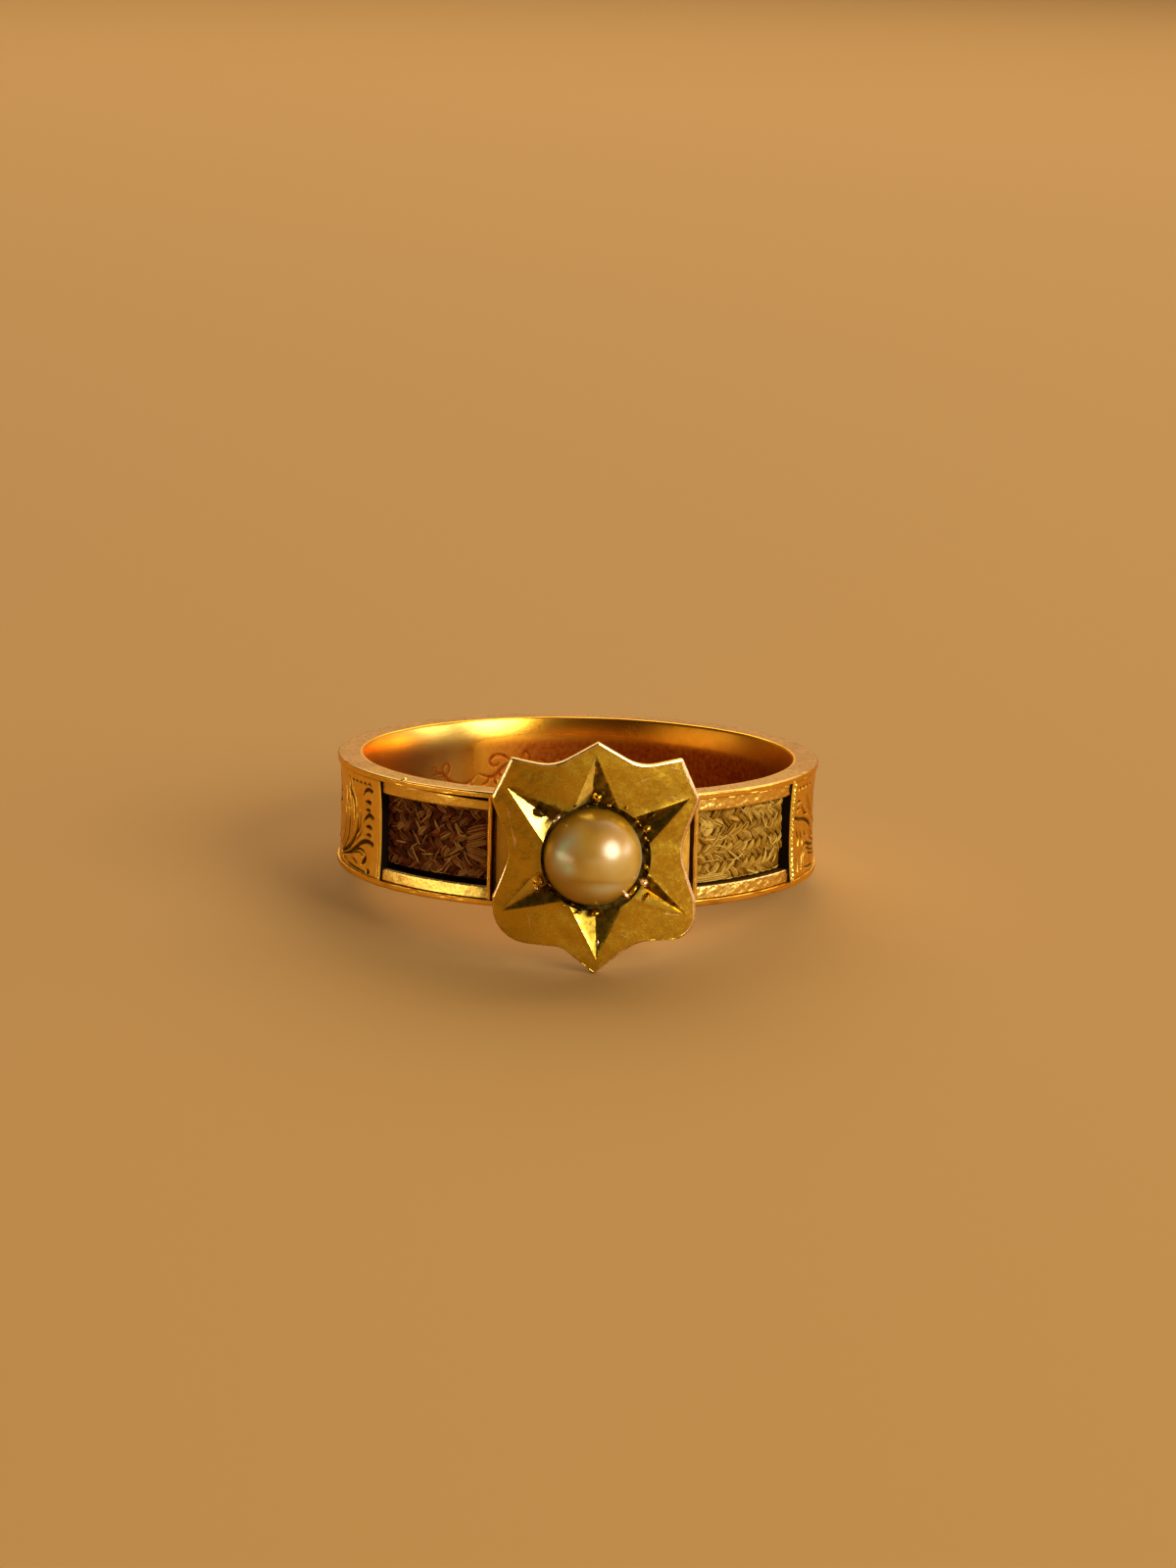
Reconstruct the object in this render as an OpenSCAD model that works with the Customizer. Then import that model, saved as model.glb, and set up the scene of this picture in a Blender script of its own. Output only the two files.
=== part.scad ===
// Mourning ring: a gold band with two windows of plaited hair, plain shoulders for
// engraving, and a shield-shaped plaque whose star is cut round a half-pearl.
// In the modules the ring stands with its axis along +Z and its plaque towards -Y.
// lying() then turns it into the pose in which it rests on a flat surface.

/* [Band] */
// Inside diameter, the finger's
finger_d = 17.2; // [14.5:0.1:21]
// Height of the band, along the finger
band_h = 4.45; // [3.8:0.05:5.6]
// Thickness of the band, from the finger to the rims' edge
band_t = 1.17; // [1:0.01:1.6]
// Thickness of the sleeve that lines the whole band
sleeve_t = 0.32; // [0.2:0.01:0.4]
// Thickness of each flat rim plate
rim_t = 0.24; // [0.15:0.01:0.32]
// How far the rim plates stand proud of the strips and shoulders
rim_proud = 0.14; // [0.05:0.01:0.2]
// Bevel of the rim plates' corners
rim_bevel = 0.06; // [0.02:0.01:0.1]

/* [Windows] */
// Height of the opening in which the hair shows
window_h = 2.96; // [2.2:0.02:3.2]
// Angle from the middle of the plaque to a window's far end
window_end_angle = 56.5; // [46:0.5:62]
// How far the far end bows into the window at mid-height
window_bow = 0.02; // [0:0.02:0.4]
// Angle from the middle of the plaque to the upright bar that ends a window
bar_angle = 24.2; // [23.5:0.1:28]
// Width of that bar
bar_w = 0.18; // [0.12:0.01:0.3]
// How far the bars and the shoulders' ridges stand proud of the strips
bar_proud = 0.09; // [0.02:0.01:0.13]
// Width of the ridge that borders a shoulder
ridge_w = 0.24; // [0.12:0.01:0.4]
// How far the ridge's two ends reach over the strips
ridge_cap = 0.2; // [0.05:0.01:0.3]

/* [Hair] */
// How far the hair lies behind the strips
hair_recess = 0.3; // [0.1:0.01:0.45]
// Bevel of the plait's long edges
hair_bevel = 0.1; // [0.02:0.01:0.14]
// Gap at the plait's far end, where it stops short of the shoulder
hair_end_gap = 0.05; // [0.04:0.01:0.4]
// Gap left round every loose piece
clear = 0.05; // [0.03:0.01:0.08]

/* [Plaque] */
// Width of the plaque, straight across
plaque_w = 7.96; // [7:0.02:8.4]
// Height of the plaque, from tip to tip
plaque_h = 8.94; // [8:0.02:10]
// Thickness of the plate
plaque_t = 0.32; // [0.26:0.01:0.45]
// How far its face stands proud of the rims
plaque_rise = 0.83; // [0.7:0.01:1.1]
// Gap between the bar of a window and the block under the plate
block_gap = 0.15; // [0.05:0.01:0.4]
// How far each side of the block leans in on its way up to the plate
block_taper = 0.6; // [0.2:0.02:1]
// Height of the block
block_h = 5.2; // [4.8:0.05:5.6]

/* [Star and pearl] */
// Length of the upright rays, from the middle to the tip
ray_up = 4; // [3.6:0.02:4.1]
// How far the slanting rays reach sideways
ray_side = 3.58; // [3.2:0.02:3.64]
// Depth of a ray's cut beside the pearl
ray_depth = 0.42; // [0.3:0.01:0.5]
// Diameter of the hollow in which the pearl sits
seat_d = 4.2; // [4.1:0.02:4.4]
// Depth of that hollow
seat_depth = 0.5; // [0.35:0.01:0.7]
// Diameter of the half-pearl
pearl_d = 3.76; // [3.4:0.02:3.9]
// How far the pearl sits to the left of the middle
pearl_off = 0.1; // [0:0.01:0.12]
// Diameter of the six gold grains that hold it
grain_d = 0.5; // [0.36:0.01:0.56]

/* [Hidden] */
$fn = 96;

finger_r = finger_d / 2;
rim_r = finger_r + band_t;
face_r = rim_r - rim_proud;
sleeve_r = finger_r + sleeve_t;
bar_r = face_r + bar_proud;
hair_r = face_r - hair_recess;
half_h = band_h / 2;
panel_h = half_h - rim_t;
plaque_r = rim_r + plaque_rise;
plate_r = plaque_r - plaque_t;
pearl_r = pearl_d / 2;
seat_r = plaque_r - seat_depth;
// Angles along the band that a length at radius r takes up
function angle_of(length, r) = length / r * 180 / PI;
bar_half = angle_of(bar_w, face_r) / 2;
block_w = 2 * (face_r * sin(bar_angle) - bar_w / 2 - block_gap);
block_top_w = block_w - 2 * block_taper;
window_start = bar_angle + bar_half;
window_mid = (window_start + window_end_angle) / 2;
window_half = (window_end_angle - window_start) / 2;

// Outline of the plaque. Each row is one corner: its x and z as shares of the half width
// and half height, and the radius that rounds it, in shares of the half width.
// The lower left corner has worn further than the lower right one.
plaque_top = [[0, 1, 0.03]];
plaque_upper = [
    // x, z, rounding
    [0.417, 0.784, 0.42],
    [0.817, 0.846, 0.03],
    [1.003, 0.481, 0.09],
    [0.802, 0.045, 0.42],
];
plaque_lower_right = [
    // x, z, rounding
    [0.98, -0.385, 0.1],
    [0.998, -0.724, 0.22],
    [0.405, -0.722, 0.4],
];
plaque_tip = [[0, -1, 0.03]];
plaque_lower_left = [
    // x, z, rounding
    [-0.315, -0.772, 0.2],
    [-0.975, -0.735, 0.34],
    [-0.972, -0.375, 0.1],
];
function mirrored(rows) = [for (i = [len(rows) - 1 : -1 : 0]) [-rows[i][0], rows[i][1], rows[i][2]]];
plaque_rows = concat(plaque_top, plaque_upper, plaque_lower_right, plaque_tip, plaque_lower_left,
    mirrored(plaque_upper));
plaque_corners = [for (row = plaque_rows)
    [row[0] * plaque_w / 2, row[1] * plaque_h / 2, row[2] * plaque_w / 2]];

// Points of a closed outline whose corners [x, y, radius] are rounded by arcs of n + 1 points
function unit(v) = v / norm(v);
function round_corner(a, b, c, r, n) =
    let (u = unit(a - b), v = unit(c - b), turn = acos(u * v) / 2,
        mid = unit(u + v), centre = b + mid * r / sin(turn), side = sign(u[0] * v[1] - u[1] * v[0]))
    [for (i = [0 : n])
        let (t = side * (90 - turn) * (2 * i / n - 1))
        centre + r * [-mid[0] * cos(t) - mid[1] * sin(t), mid[0] * sin(t) - mid[1] * cos(t)]];
function rounded(corners, n = 6) = [for (i = [0 : len(corners) - 1])
    let (m = len(corners), a = corners[(i + m - 1) % m], b = corners[i], c = corners[(i + 1) % m])
    each round_corner([a[0], a[1]], [b[0], b[1]], [c[0], c[1]], b[2], n)];
plaque_outline = rounded(plaque_corners);

// Six rays of the hand-cut star. Each row is one ray: its tip's x as a share of ray_side, its
// z as a share of ray_up, and its width at the hollow's edge as a share of the hollow's diameter.
ray_rows = [
    // x, z, width
    [-0.02, 1, 0.41],
    [1, 0.56, 0.29],
    [1, -0.58, 0.27],
    [0.02, -0.98, 0.48],
    [-0.99, -0.54, 0.36],
    [-0.94, 0.65, 0.36],
];
function ray_tip(row) = [row[0] * ray_side, row[1] * ray_up];
// The grains stand round the pearl at this distance from its middle, near the rays' bases
grain_at = pearl_r + grain_d / 2 + clear;
grain_angles = [85, 31, -26, -87, 208, 132];

// The ring rests on the tip of its plaque and on the back of its lower rim
tip_drop = -min([for (p = plaque_outline) p[1]]);
tilt = atan((tip_drop - half_h) / (plate_r + rim_r - rim_bevel));
lift = half_h * cos(tilt) + (rim_r - rim_bevel) * sin(tilt);
pearl_front = (seat_r + clear) * cos(tilt) + pearl_r;
rim_back = rim_r * cos(tilt) + (half_h - rim_bevel) * sin(tilt);
shift = (pearl_front - rim_back) / 2;

module lying() {
    translate([0, shift, lift]) rotate([-tilt, 0, 0]) children();
}

// x across, y up and z outward, at an angle along the band from the middle of the plaque
module facing(angle = 0) {
    rotate([0, 0, angle]) rotate([90, 0, 0]) children();
}

module shell(inner, outer, height) {
    difference() {
        cylinder(r = outer, h = height, center = true);
        cylinder(r = inner, h = height + 1, center = true);
    }
}

// Sleeve and rim plates with the face of the strips and shoulders between them
module band_blank() {
    rotate_extrude() polygon([
        [finger_r, rim_bevel - half_h], [finger_r + rim_bevel, -half_h],
        [rim_r - rim_bevel, -half_h], [rim_r, rim_bevel - half_h],
        [rim_r, -panel_h], [face_r, -panel_h], [face_r, panel_h], [rim_r, panel_h],
        [rim_r, half_h - rim_bevel], [rim_r - rim_bevel, half_h],
        [finger_r + rim_bevel, half_h], [finger_r, half_h - rim_bevel],
    ]);
}

// Outline of a window, seen along its middle; its far end bows in, and side is 1 on the right
function bowed_edge(x, reach, n = 10) = [for (i = [0 : n])
    let (t = 2 * i / n - 1) [x - window_bow * (1 - t * t), t * reach]];
far_x = face_r * sin(window_half);

module window_outline() {
    polygon(concat([[-far_x, window_h / 2], [-far_x, -window_h / 2]], bowed_edge(far_x, window_h / 2)));
}

module on_side(side) {
    if (side > 0) children();
    else mirror([1, 0, 0]) children();
}

module window_cut() {
    difference() {
        facing(window_mid) linear_extrude(rim_r + 1) window_outline();
        cylinder(r = sleeve_r, h = band_h, center = true);
    }
}

// Ridge along a shoulder's edge, with ends that lap over the strips
module shoulder_ridge() {
    edge = bowed_edge(far_x, panel_h);
    back = [for (i = [len(edge) - 1 : -1 : 0]) edge[i] + [ridge_w, 0]];
    intersection() {
        facing(window_mid) linear_extrude(rim_r + 1) {
            polygon(concat(edge, back));
            for (end = [-1, 1]) polygon([[far_x + ridge_w, end * panel_h],
                [far_x - ridge_cap, end * panel_h], [far_x, end * (panel_h - ridge_cap)]]);
        }
        shell(sleeve_r, bar_r, 2 * panel_h);
    }
}

module window_bar() {
    intersection() {
        facing(bar_angle) translate([-bar_w / 2, -panel_h, 0]) cube([bar_w, 2 * panel_h, rim_r]);
        shell(sleeve_r, bar_r, 2 * panel_h);
    }
}

// Sunk face between the two bars, from which the plaque's block rises
module cheek_cut() {
    reach = face_r * sin(bar_angle - bar_half);
    intersection() {
        facing() translate([-reach, -panel_h, 0]) cube([2 * reach, 2 * panel_h, rim_r + 1]);
        shell(hair_r, rim_r + 1, 2 * panel_h);
    }
}

// Tapering block that carries the plate
module block() {
    base_y = -sqrt(face_r * face_r - block_w * block_w / 4);
    top_y = -sqrt(plate_r * plate_r - block_top_w * block_top_w / 4);
    slope = (block_w - block_top_w) / 2 / (base_y - top_y);
    intersection() {
        translate([0, 0, -block_h / 2]) linear_extrude(block_h) polygon([
            [block_w / 2, base_y + 1], [block_w / 2, base_y],
            [block_top_w / 2 - slope * plaque_t, top_y - plaque_t],
            [slope * plaque_t - block_top_w / 2, top_y - plaque_t],
            [-block_w / 2, base_y], [-block_w / 2, base_y + 1],
        ]);
        union() {
            shell(sleeve_r, plate_r + plaque_t / 2, 2 * panel_h + rim_t);
            shell(rim_r - rim_bevel, plate_r + plaque_t / 2, block_h);
        }
    }
}

module plate() {
    intersection() {
        facing() linear_extrude(plaque_r + 1) polygon(plaque_outline);
        shell(plate_r, plaque_r, plaque_h + 1);
    }
}

// Height of the plaque's face over the ring's axis, at x
function plaque_z(x) = sqrt(plaque_r * plaque_r - x * x);

// V-shaped cut whose floor rises from the hollow's edge to a ray's tip
module ray_cut(row) {
    tip = ray_tip(row);
    half_w = row[2] * seat_d / 2;
    base = unit(tip) * seat_d / 2;
    low = [base[0], base[1], plaque_z(base[0]) - ray_depth];
    run = [tip[0], tip[1], plaque_z(tip[0])] - low;
    length = norm(run);
    spread = half_w / ray_depth;
    wide = 3 * ray_depth;
    // Starts just inside the hollow, clear of its floor
    back = 0.6 * row[2] * half_w;
    translate(low) rotate([0, acos(run[2] / length), atan2(run[1], run[0])])
        translate([0, 0, -back]) linear_extrude(length + back)
        polygon([[0, 0], [-wide, wide * spread], [-wide, -wide * spread]]);
}

module grain(angle) {
    at = grain_at * [cos(angle), sin(angle)] - [pearl_off, 0];
    translate([at[0], at[1], 0]) {
        translate([0, 0, seat_r - clear]) cylinder(d = grain_d * 0.85, h = plaque_z(at[0]) - seat_r + clear);
        translate([0, 0, plaque_z(at[0])]) sphere(d = grain_d);
    }
}

module gold_ring() {
    color("goldenrod") lying() {
        difference() {
            union() {
                difference() {
                    band_blank();
                    for (side = [-1, 1]) on_side(side) window_cut();
                    cheek_cut();
                }
                for (side = [-1, 1]) on_side(side) {
                    window_bar();
                    shoulder_ridge();
                }
                block();
                plate();
            }
            facing() {
                for (row = ray_rows) ray_cut(row);
                translate([0, 0, seat_r]) cylinder(d = seat_d, h = seat_depth + 1);
            }
        }
        facing() for (angle = grain_angles) grain(angle);
    }
}

module half_pearl() {
    color("antiquewhite") lying() facing() translate([-pearl_off, 0, seat_r + clear])
        intersection() {
            sphere(r = pearl_r);
            cylinder(r = pearl_r + 1, h = pearl_r + 1);
        }
}

// Plait of hair as one curved slab
module hair() {
    start = window_start + angle_of(clear, hair_r);
    end = window_mid + asin((far_x - window_bow - hair_end_gap) / hair_r);
    half = window_h / 2 - clear;
    rotate([0, 0, start - 90]) rotate_extrude(angle = end - start) polygon([
        [sleeve_r + clear, -half], [hair_r - hair_bevel, -half], [hair_r, hair_bevel - half],
        [hair_r, half - hair_bevel], [hair_r - hair_bevel, half], [sleeve_r + clear, half],
    ]);
}

module hair_left() {
    color("saddlebrown") lying() on_side(-1) hair();
}

module hair_right() {
    color("peru") lying() on_side(1) hair();
}

gold_ring();
half_pearl();
hair_left();
hair_right();
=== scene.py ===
import math
import bpy
import numpy as np
from mathutils import Matrix, Vector, geometry


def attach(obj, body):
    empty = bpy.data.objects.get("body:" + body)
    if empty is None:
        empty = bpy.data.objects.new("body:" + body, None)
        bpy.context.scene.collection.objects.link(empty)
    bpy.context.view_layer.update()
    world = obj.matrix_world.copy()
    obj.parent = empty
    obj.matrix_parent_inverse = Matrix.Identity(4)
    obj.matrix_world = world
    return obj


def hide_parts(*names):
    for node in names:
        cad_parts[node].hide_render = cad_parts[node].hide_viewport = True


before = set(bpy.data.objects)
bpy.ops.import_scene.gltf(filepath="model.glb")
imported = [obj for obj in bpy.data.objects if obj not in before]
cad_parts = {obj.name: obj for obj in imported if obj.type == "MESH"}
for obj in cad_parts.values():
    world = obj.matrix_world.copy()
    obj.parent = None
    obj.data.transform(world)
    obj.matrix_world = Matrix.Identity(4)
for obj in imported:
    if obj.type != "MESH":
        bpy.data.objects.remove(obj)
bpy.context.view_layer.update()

# Sizes of the solids, in mm, in the ring's own frame: its axis is +Z, the plaque faces -Y
# Band: finger hole, half height, rims, sleeve behind the hair, and panels between the rims
FINGER_R = 8.6
HALF_H = 2.225
RIM_R = 9.77
RIM_BEVEL = 0.06
SLEEVE_R = 8.92
PANEL_H = 1.985
FACE_R = 9.63
BAR_R = 9.72
HAIR_R = 9.33
PLAQUE_R = 10.6
PLATE_R = 10.28
# Windows: height, angle and bow of the far end, and angle and width of the bar at the near one
WINDOW_H = 2.96
WINDOW_END = 56.5
WINDOW_BOW = 0.02
BAR_AT = 24.2
BAR_W = 0.18
# Plaque: half width, height of its tips, and how low the tip that the ring rests on reaches
HALF_W = 3.98
TIP_Z = 4.47
TIP_DROP = 4.437
# The pearl's seat, the star's cuts, the pearl and how far left of the middle it sits, and the plate
SEAT_R = 2.1
SEAT_DEPTH = 0.5
RAY_DEPTH = 0.42
PEARL_R = 1.88
PEARL_OFF = 0.1
PLATE_T = 0.32
# Half width and half height of the block, and half width and radius of its foot on the band
BLOCK_W = 3.1
BLOCK_H = 2.6
FOOT_W = 3.71
FOOT_R = 9.0
SCROLL_DEPTH = 0.012
# Wear of the inner edges: where it starts above the middle, and how far it opens
FLARE_AT = 0.95
FLARE = 0.15
MM = 0.001

TILT = math.atan((TIP_DROP - HALF_H) / (PLATE_R + RIM_R - RIM_BEVEL))
LIFT = HALF_H * math.cos(TILT) + (RIM_R - RIM_BEVEL) * math.sin(TILT)
# Along Y, so that the lying ring's middle is over the origin
SHIFT = 1.00978
# Turns the standing ring into its resting pose, and mm into metres
LYING = np.array([
    [1, 0, 0],
    [0, math.cos(TILT), math.sin(TILT)],
    [0, -math.sin(TILT), math.cos(TILT)],
])


def lay(points):
    return (np.asarray(points, float) @ LYING.T + [0, SHIFT, LIFT]) * MM


def around(angle, rho, z):
    """Points at an angle in degrees from the plaque's middle, at radius rho and height z."""
    a = np.radians(angle)
    rho = np.asarray(rho, float)
    return np.stack(np.broadcast_arrays(rho * np.sin(a), -rho * np.cos(a), z), -1)


def waves(points, length, seed, octaves=3):
    """Smooth noise from -1 to 1 with features of about the given length."""
    rng = np.random.default_rng(seed)
    points = np.asarray(points, float)
    total = np.zeros(points.shape[:-1])
    weight = 0
    for octave in range(octaves):
        for _ in range(7):
            way = rng.normal(size=points.shape[-1])
            way *= 2 * math.pi / (length / 2 ** octave) / np.linalg.norm(way) * rng.uniform(0.6, 1.3)
            total += np.sin(points @ way + rng.uniform(0, 2 * math.pi)) / 2 ** octave
        weight += 7 ** 0.5 / 2 ** octave
    return total / weight


def fade(x, start, span):
    """0 up to start, 1 from a span past it, straight in between. A negative span runs the other way."""
    return np.clip((x - start) / span, 0, 1)


def bell(x, middle, width):
    """1 at the middle, falling off on both sides."""
    return np.exp(-((x - middle) / width) ** 2)


# Materials
def add(tree, kind, values=None, links=None, **settings):
    node = tree.nodes.new("ShaderNode" + kind)
    for key, value in settings.items():
        setattr(node, key, value)
    for key, value in (values or {}).items():
        node.inputs[key].default_value = value
    for key, socket in (links or {}).items():
        tree.links.new(socket, node.inputs[key])
    return node


def new_material(name, values):
    """A material, its node tree, and its shader with the given constants."""
    material = bpy.data.materials.new(name)
    material.use_nodes = True
    tree = material.node_tree
    tree.nodes.clear()
    shader = add(tree, "BsdfPrincipled", values)
    add(tree, "OutputMaterial", links={0: shader.outputs[0]})
    return material, tree, shader


def read_mesh(tree):
    """Place on the object, and the mesh's value per point: wear and tone, and painted shade and
    highlights.
    """
    place = add(tree, "TexCoord").outputs["Object"]
    return place, add(tree, "Attribute", attribute_name="wear_and_painted_light").outputs["Fac"]


def noise(tree, place, scale, detail, roughness=0.5, distortion=0.0):
    values = {"Scale": scale, "Detail": detail, "Roughness": roughness, "Distortion": distortion}
    return add(tree, "TexNoise", values, {"Vector": place}).outputs[0]


def scaled(tree, socket, by):
    return add(tree, "Math", {1: by}, {0: socket}, operation="MULTIPLY").outputs[0]


def combined(tree, operation, first, second, **settings):
    return add(tree, "Math", links={0: first, 1: second}, operation=operation, **settings).outputs[0]


def covered(tree, below, above, share):
    """Colour of a socket with a fixed colour laid over it by a share."""
    return add(tree, "Mix", {7: (*above, 1)}, {0: share, 6: below}, data_type="RGBA").outputs[2]


def ramp(tree, fac, stops):
    node = add(tree, "ValToRGB", links={0: fac})
    elements = node.color_ramp.elements
    while len(elements) < len(stops):
        elements.new(0.5)
    for element, (at, colour) in zip(elements, stops):
        element.position = at
        element.color = (*colour, 1)
    return node.outputs[0]


def gold(name, clean, dark, rough, bump=0.3, scratch=0.4, tone_span=0.2, speck=0.5,
         edge=(0.95, 0.75, 0.45), uneven=0.25):
    """Worn gold: the mesh's value per point darkens it above 0 and brightens it below, for real tarnish
    and polish and, in places, for painted shade and painted highlights.
    """
    material, tree, shader = new_material(name, {"Metallic": 1, "Specular Tint": (*edge, 1)})
    place, wear_and_painted_light = read_mesh(tree)
    fine = noise(tree, place, 5200, 5, 0.62)
    tone = ramp(tree, noise(tree, place, 420, 4, 0.6), [
        (0.3, [c * (1 - tone_span) for c in clean]), (0.52, clean),
        (0.75, [min(1, c * (1 + tone_span / 2)) for c in clean])])
    shine = add(tree, "MapRange", {"From Min": 0.0, "From Max": -1.0}, {"Value": wear_and_painted_light}).outputs[0]
    tone = covered(tree, tone, (1.0, 0.74, 0.2), shine)
    darkening = add(tree, "Math", {1: 0.0}, {0: wear_and_painted_light}, operation="MAXIMUM").outputs[0]
    mottled_darkening = combined(tree, "MULTIPLY", darkening, ramp(tree, fine, [(0.3, (0.75,) * 3), (0.7, (1, 1, 1))]))
    specks = ramp(tree, noise(tree, place, 9000, 2), [(0.66, (0, 0, 0)), (0.78, (speck,) * 3)])
    cover = combined(tree, "MAXIMUM", mottled_darkening, specks, use_clamp=True)
    spread = add(tree, "MapRange", {"From Min": 0.3, "From Max": 0.75, "To Min": rough * (1 - uneven),
                                    "To Max": rough * (1 + 1.4 * uneven)}, {"Value": fine}).outputs[0]
    stretched = add(tree, "Mapping", {"Scale": (1, 1, 9)}, {"Vector": place}).outputs[0]
    lines = noise(tree, stretched, 2600, 3, 0.7)
    relief = add(tree, "Bump", {"Strength": bump, "Distance": 0.00003}, {"Height": fine}).outputs[0]
    brushed = add(tree, "Bump", {"Strength": scratch * 0.5, "Distance": 0.00001},
                  {"Height": lines, "Normal": relief}).outputs[0]
    for key, socket in (("Base Color", covered(tree, tone, dark, cover)),
                        ("Roughness", combined(tree, "ADD", spread, scaled(tree, cover, 0.35))),
                        ("Normal", brushed)):
        tree.links.new(socket, shader.inputs[key])
    return material


def plain(name, colour, roughness, specular):
    return new_material(name, {"Base Color": (*colour, 1), "Roughness": roughness,
                               "Specular IOR Level": specular})[0]


# Near black for walls and faces that lie in the gaps between parts: painted shade.
SHADE_BLACK = plain("painted_shade_black", (0.008, 0.003, 0.001), 0.8, 0.1)
BAND_GOLD = gold("band_gold", (0.92, 0.53, 0.075), (0.03, 0.007, 0.001), 0.2, bump=0.2, speck=0.3)
STRIP_GOLD = gold("strip_gold", (0.83, 0.49, 0.075), (0.03, 0.006, 0.001), 0.27, bump=0.15,
                  scratch=0.15, speck=0.25)
# Its dark colour fills the engraving, and is also the painted shade on the lower and right parts of the
# inner wall.
INNER_GOLD = gold("inner_gold", (0.84, 0.4, 0.03), (0.22, 0.015, 0.002), 0.24, bump=0.1,
                  scratch=0.25, speck=0, uneven=0.04)
RIM_GOLD = gold("rim_gold", (0.42, 0.26, 0.11), (0.12, 0.04, 0.01), 0.3, bump=0.15,
                edge=(0.75, 0.57, 0.4))
PLAQUE_GOLD = gold("plaque_gold", (0.6, 0.38, 0.03), (0.045, 0.02, 0.003), 0.25, scratch=0.05, speck=0.3)
CUT_GOLD = gold("cut_gold", (0.66, 0.42, 0.04), (0.022, 0.016, 0.002), 0.18, bump=0.25,
                scratch=0.05, tone_span=0.3)
# The three golds below are paler copies, laid where parts are painted as lit: painted highlights on
# facets, crests, edges and grains, and painted light on the right flanks.
FLANK_GOLD = gold("flank_gold", (1.0, 0.7, 0.12), (0.03, 0.007, 0.001), 0.5)
BRIGHT_GOLD = gold("bright_gold", (1.0, 0.78, 0.14), (0.2, 0.1, 0.01), 0.2, tone_span=0.3, speck=0.3)
EDGE_GOLD = gold("edge_gold", (1.0, 0.72, 0.42), (0.25, 0.12, 0.04), 0.28, bump=0.2, speck=0.2)


# Meshes
class Build:
    """Collects points, faces and a value per point of one piece, in the ring's frame: its wear, with
    painted shade and highlights where those are painted.

    That value of hair and pearl is their tone.
    """

    def __init__(self):
        self.points = []
        self.faces = []
        self.wear_and_painted_light = []
        self.count = 0

    def grid(self, points, wear_and_painted_light=0.0, wrap_u=False, wrap_v=False, flip=False):
        n, m = points.shape[:2]
        wear_and_painted_light = np.broadcast_to(wear_and_painted_light, (n, m)).reshape(-1)
        index = self.add_points(points.reshape(-1, 3), wear_and_painted_light).reshape(n, m)
        iu = np.arange(n if wrap_u else n - 1)
        iv = np.arange(m if wrap_v else m - 1)
        a = index[np.ix_(iu, iv)]
        b = index[np.ix_((iu + 1) % n, iv)]
        c = index[np.ix_((iu + 1) % n, (iv + 1) % m)]
        d = index[np.ix_(iu, (iv + 1) % m)]
        quads = np.stack([a, d, c, b] if flip else [a, b, c, d], -1)
        self.faces.extend(quads.reshape(-1, 4).tolist())
        return index

    def add_points(self, points, wear_and_painted_light=0.0):
        points = np.asarray(points, float)
        self.points.append(points)
        self.wear_and_painted_light.append(np.broadcast_to(np.asarray(wear_and_painted_light, float), (len(points),)))
        self.count += len(points)
        return np.arange(self.count - len(points), self.count)

    def face(self, loop):
        self.faces.append(list(loop))

    def bridge(self, loop_a, loop_b, closed=True):
        n = len(loop_a)
        for i in range(n if closed else n - 1):
            j = (i + 1) % n
            self.faces.append([loop_a[i], loop_a[j], loop_b[j], loop_b[i]])

    def done(self, name, materials, replaced="gold_ring", sharp=38, indices=None):
        mesh = bpy.data.meshes.new(name)
        faces = [list(map(int, face)) for face in self.faces]
        mesh.from_pydata(lay(np.concatenate(self.points)).tolist(), [], faces)
        mesh.update()
        layer = mesh.attributes.new("wear_and_painted_light", "FLOAT", "POINT")
        layer.data.foreach_set("value", np.concatenate(self.wear_and_painted_light).astype(np.float32))
        for material in materials:
            mesh.materials.append(material)
        if indices is not None:
            mesh.polygons.foreach_set("material_index", np.asarray(indices, np.int32))
        mesh.polygons.foreach_set("use_smooth", [True] * len(mesh.polygons))
        if sharp:
            mesh.set_sharp_from_angle(angle=math.radians(sharp))
        obj = bpy.data.objects.new(name, mesh)
        bpy.context.scene.collection.objects.link(obj)
        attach(obj, "root")
        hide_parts(replaced)


def border(grid):
    """What lies along the edge of a grid, once round."""
    return np.concatenate([grid[:, 0], grid[-1, 1:], grid[-2::-1, -1], grid[0, -2:0:-1]])


def slab(build, outer, inner, wear_and_painted_light=0.0, side_shade=0.3):
    """Closed block between a fine outer grid and the inner one below it, whose side walls get their own
    value, which darkens them as painted shade. Returns its first side face.
    """
    n, m = outer.shape[:2]
    around_top = border(build.grid(outer, wear_and_painted_light))
    high = border(outer)
    low = border(inner)
    drop = np.minimum(0.5, 0.035 / np.linalg.norm(high - low, axis=1))[:, None]
    lip = build.add_points(high + (low - high) * drop, side_shade)
    build.bridge(lip, around_top)
    base = build.add_points(low, side_shade)
    first_side = len(build.faces)
    build.bridge(base, lip)
    build.bridge(base[n + m - 2:2 * n + m - 2][::-1], base[:n], closed=False)
    build.face([*base[2 * n + m - 3:], base[0]])
    build.face(base[n - 1:n + m - 1])
    return first_side


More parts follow.
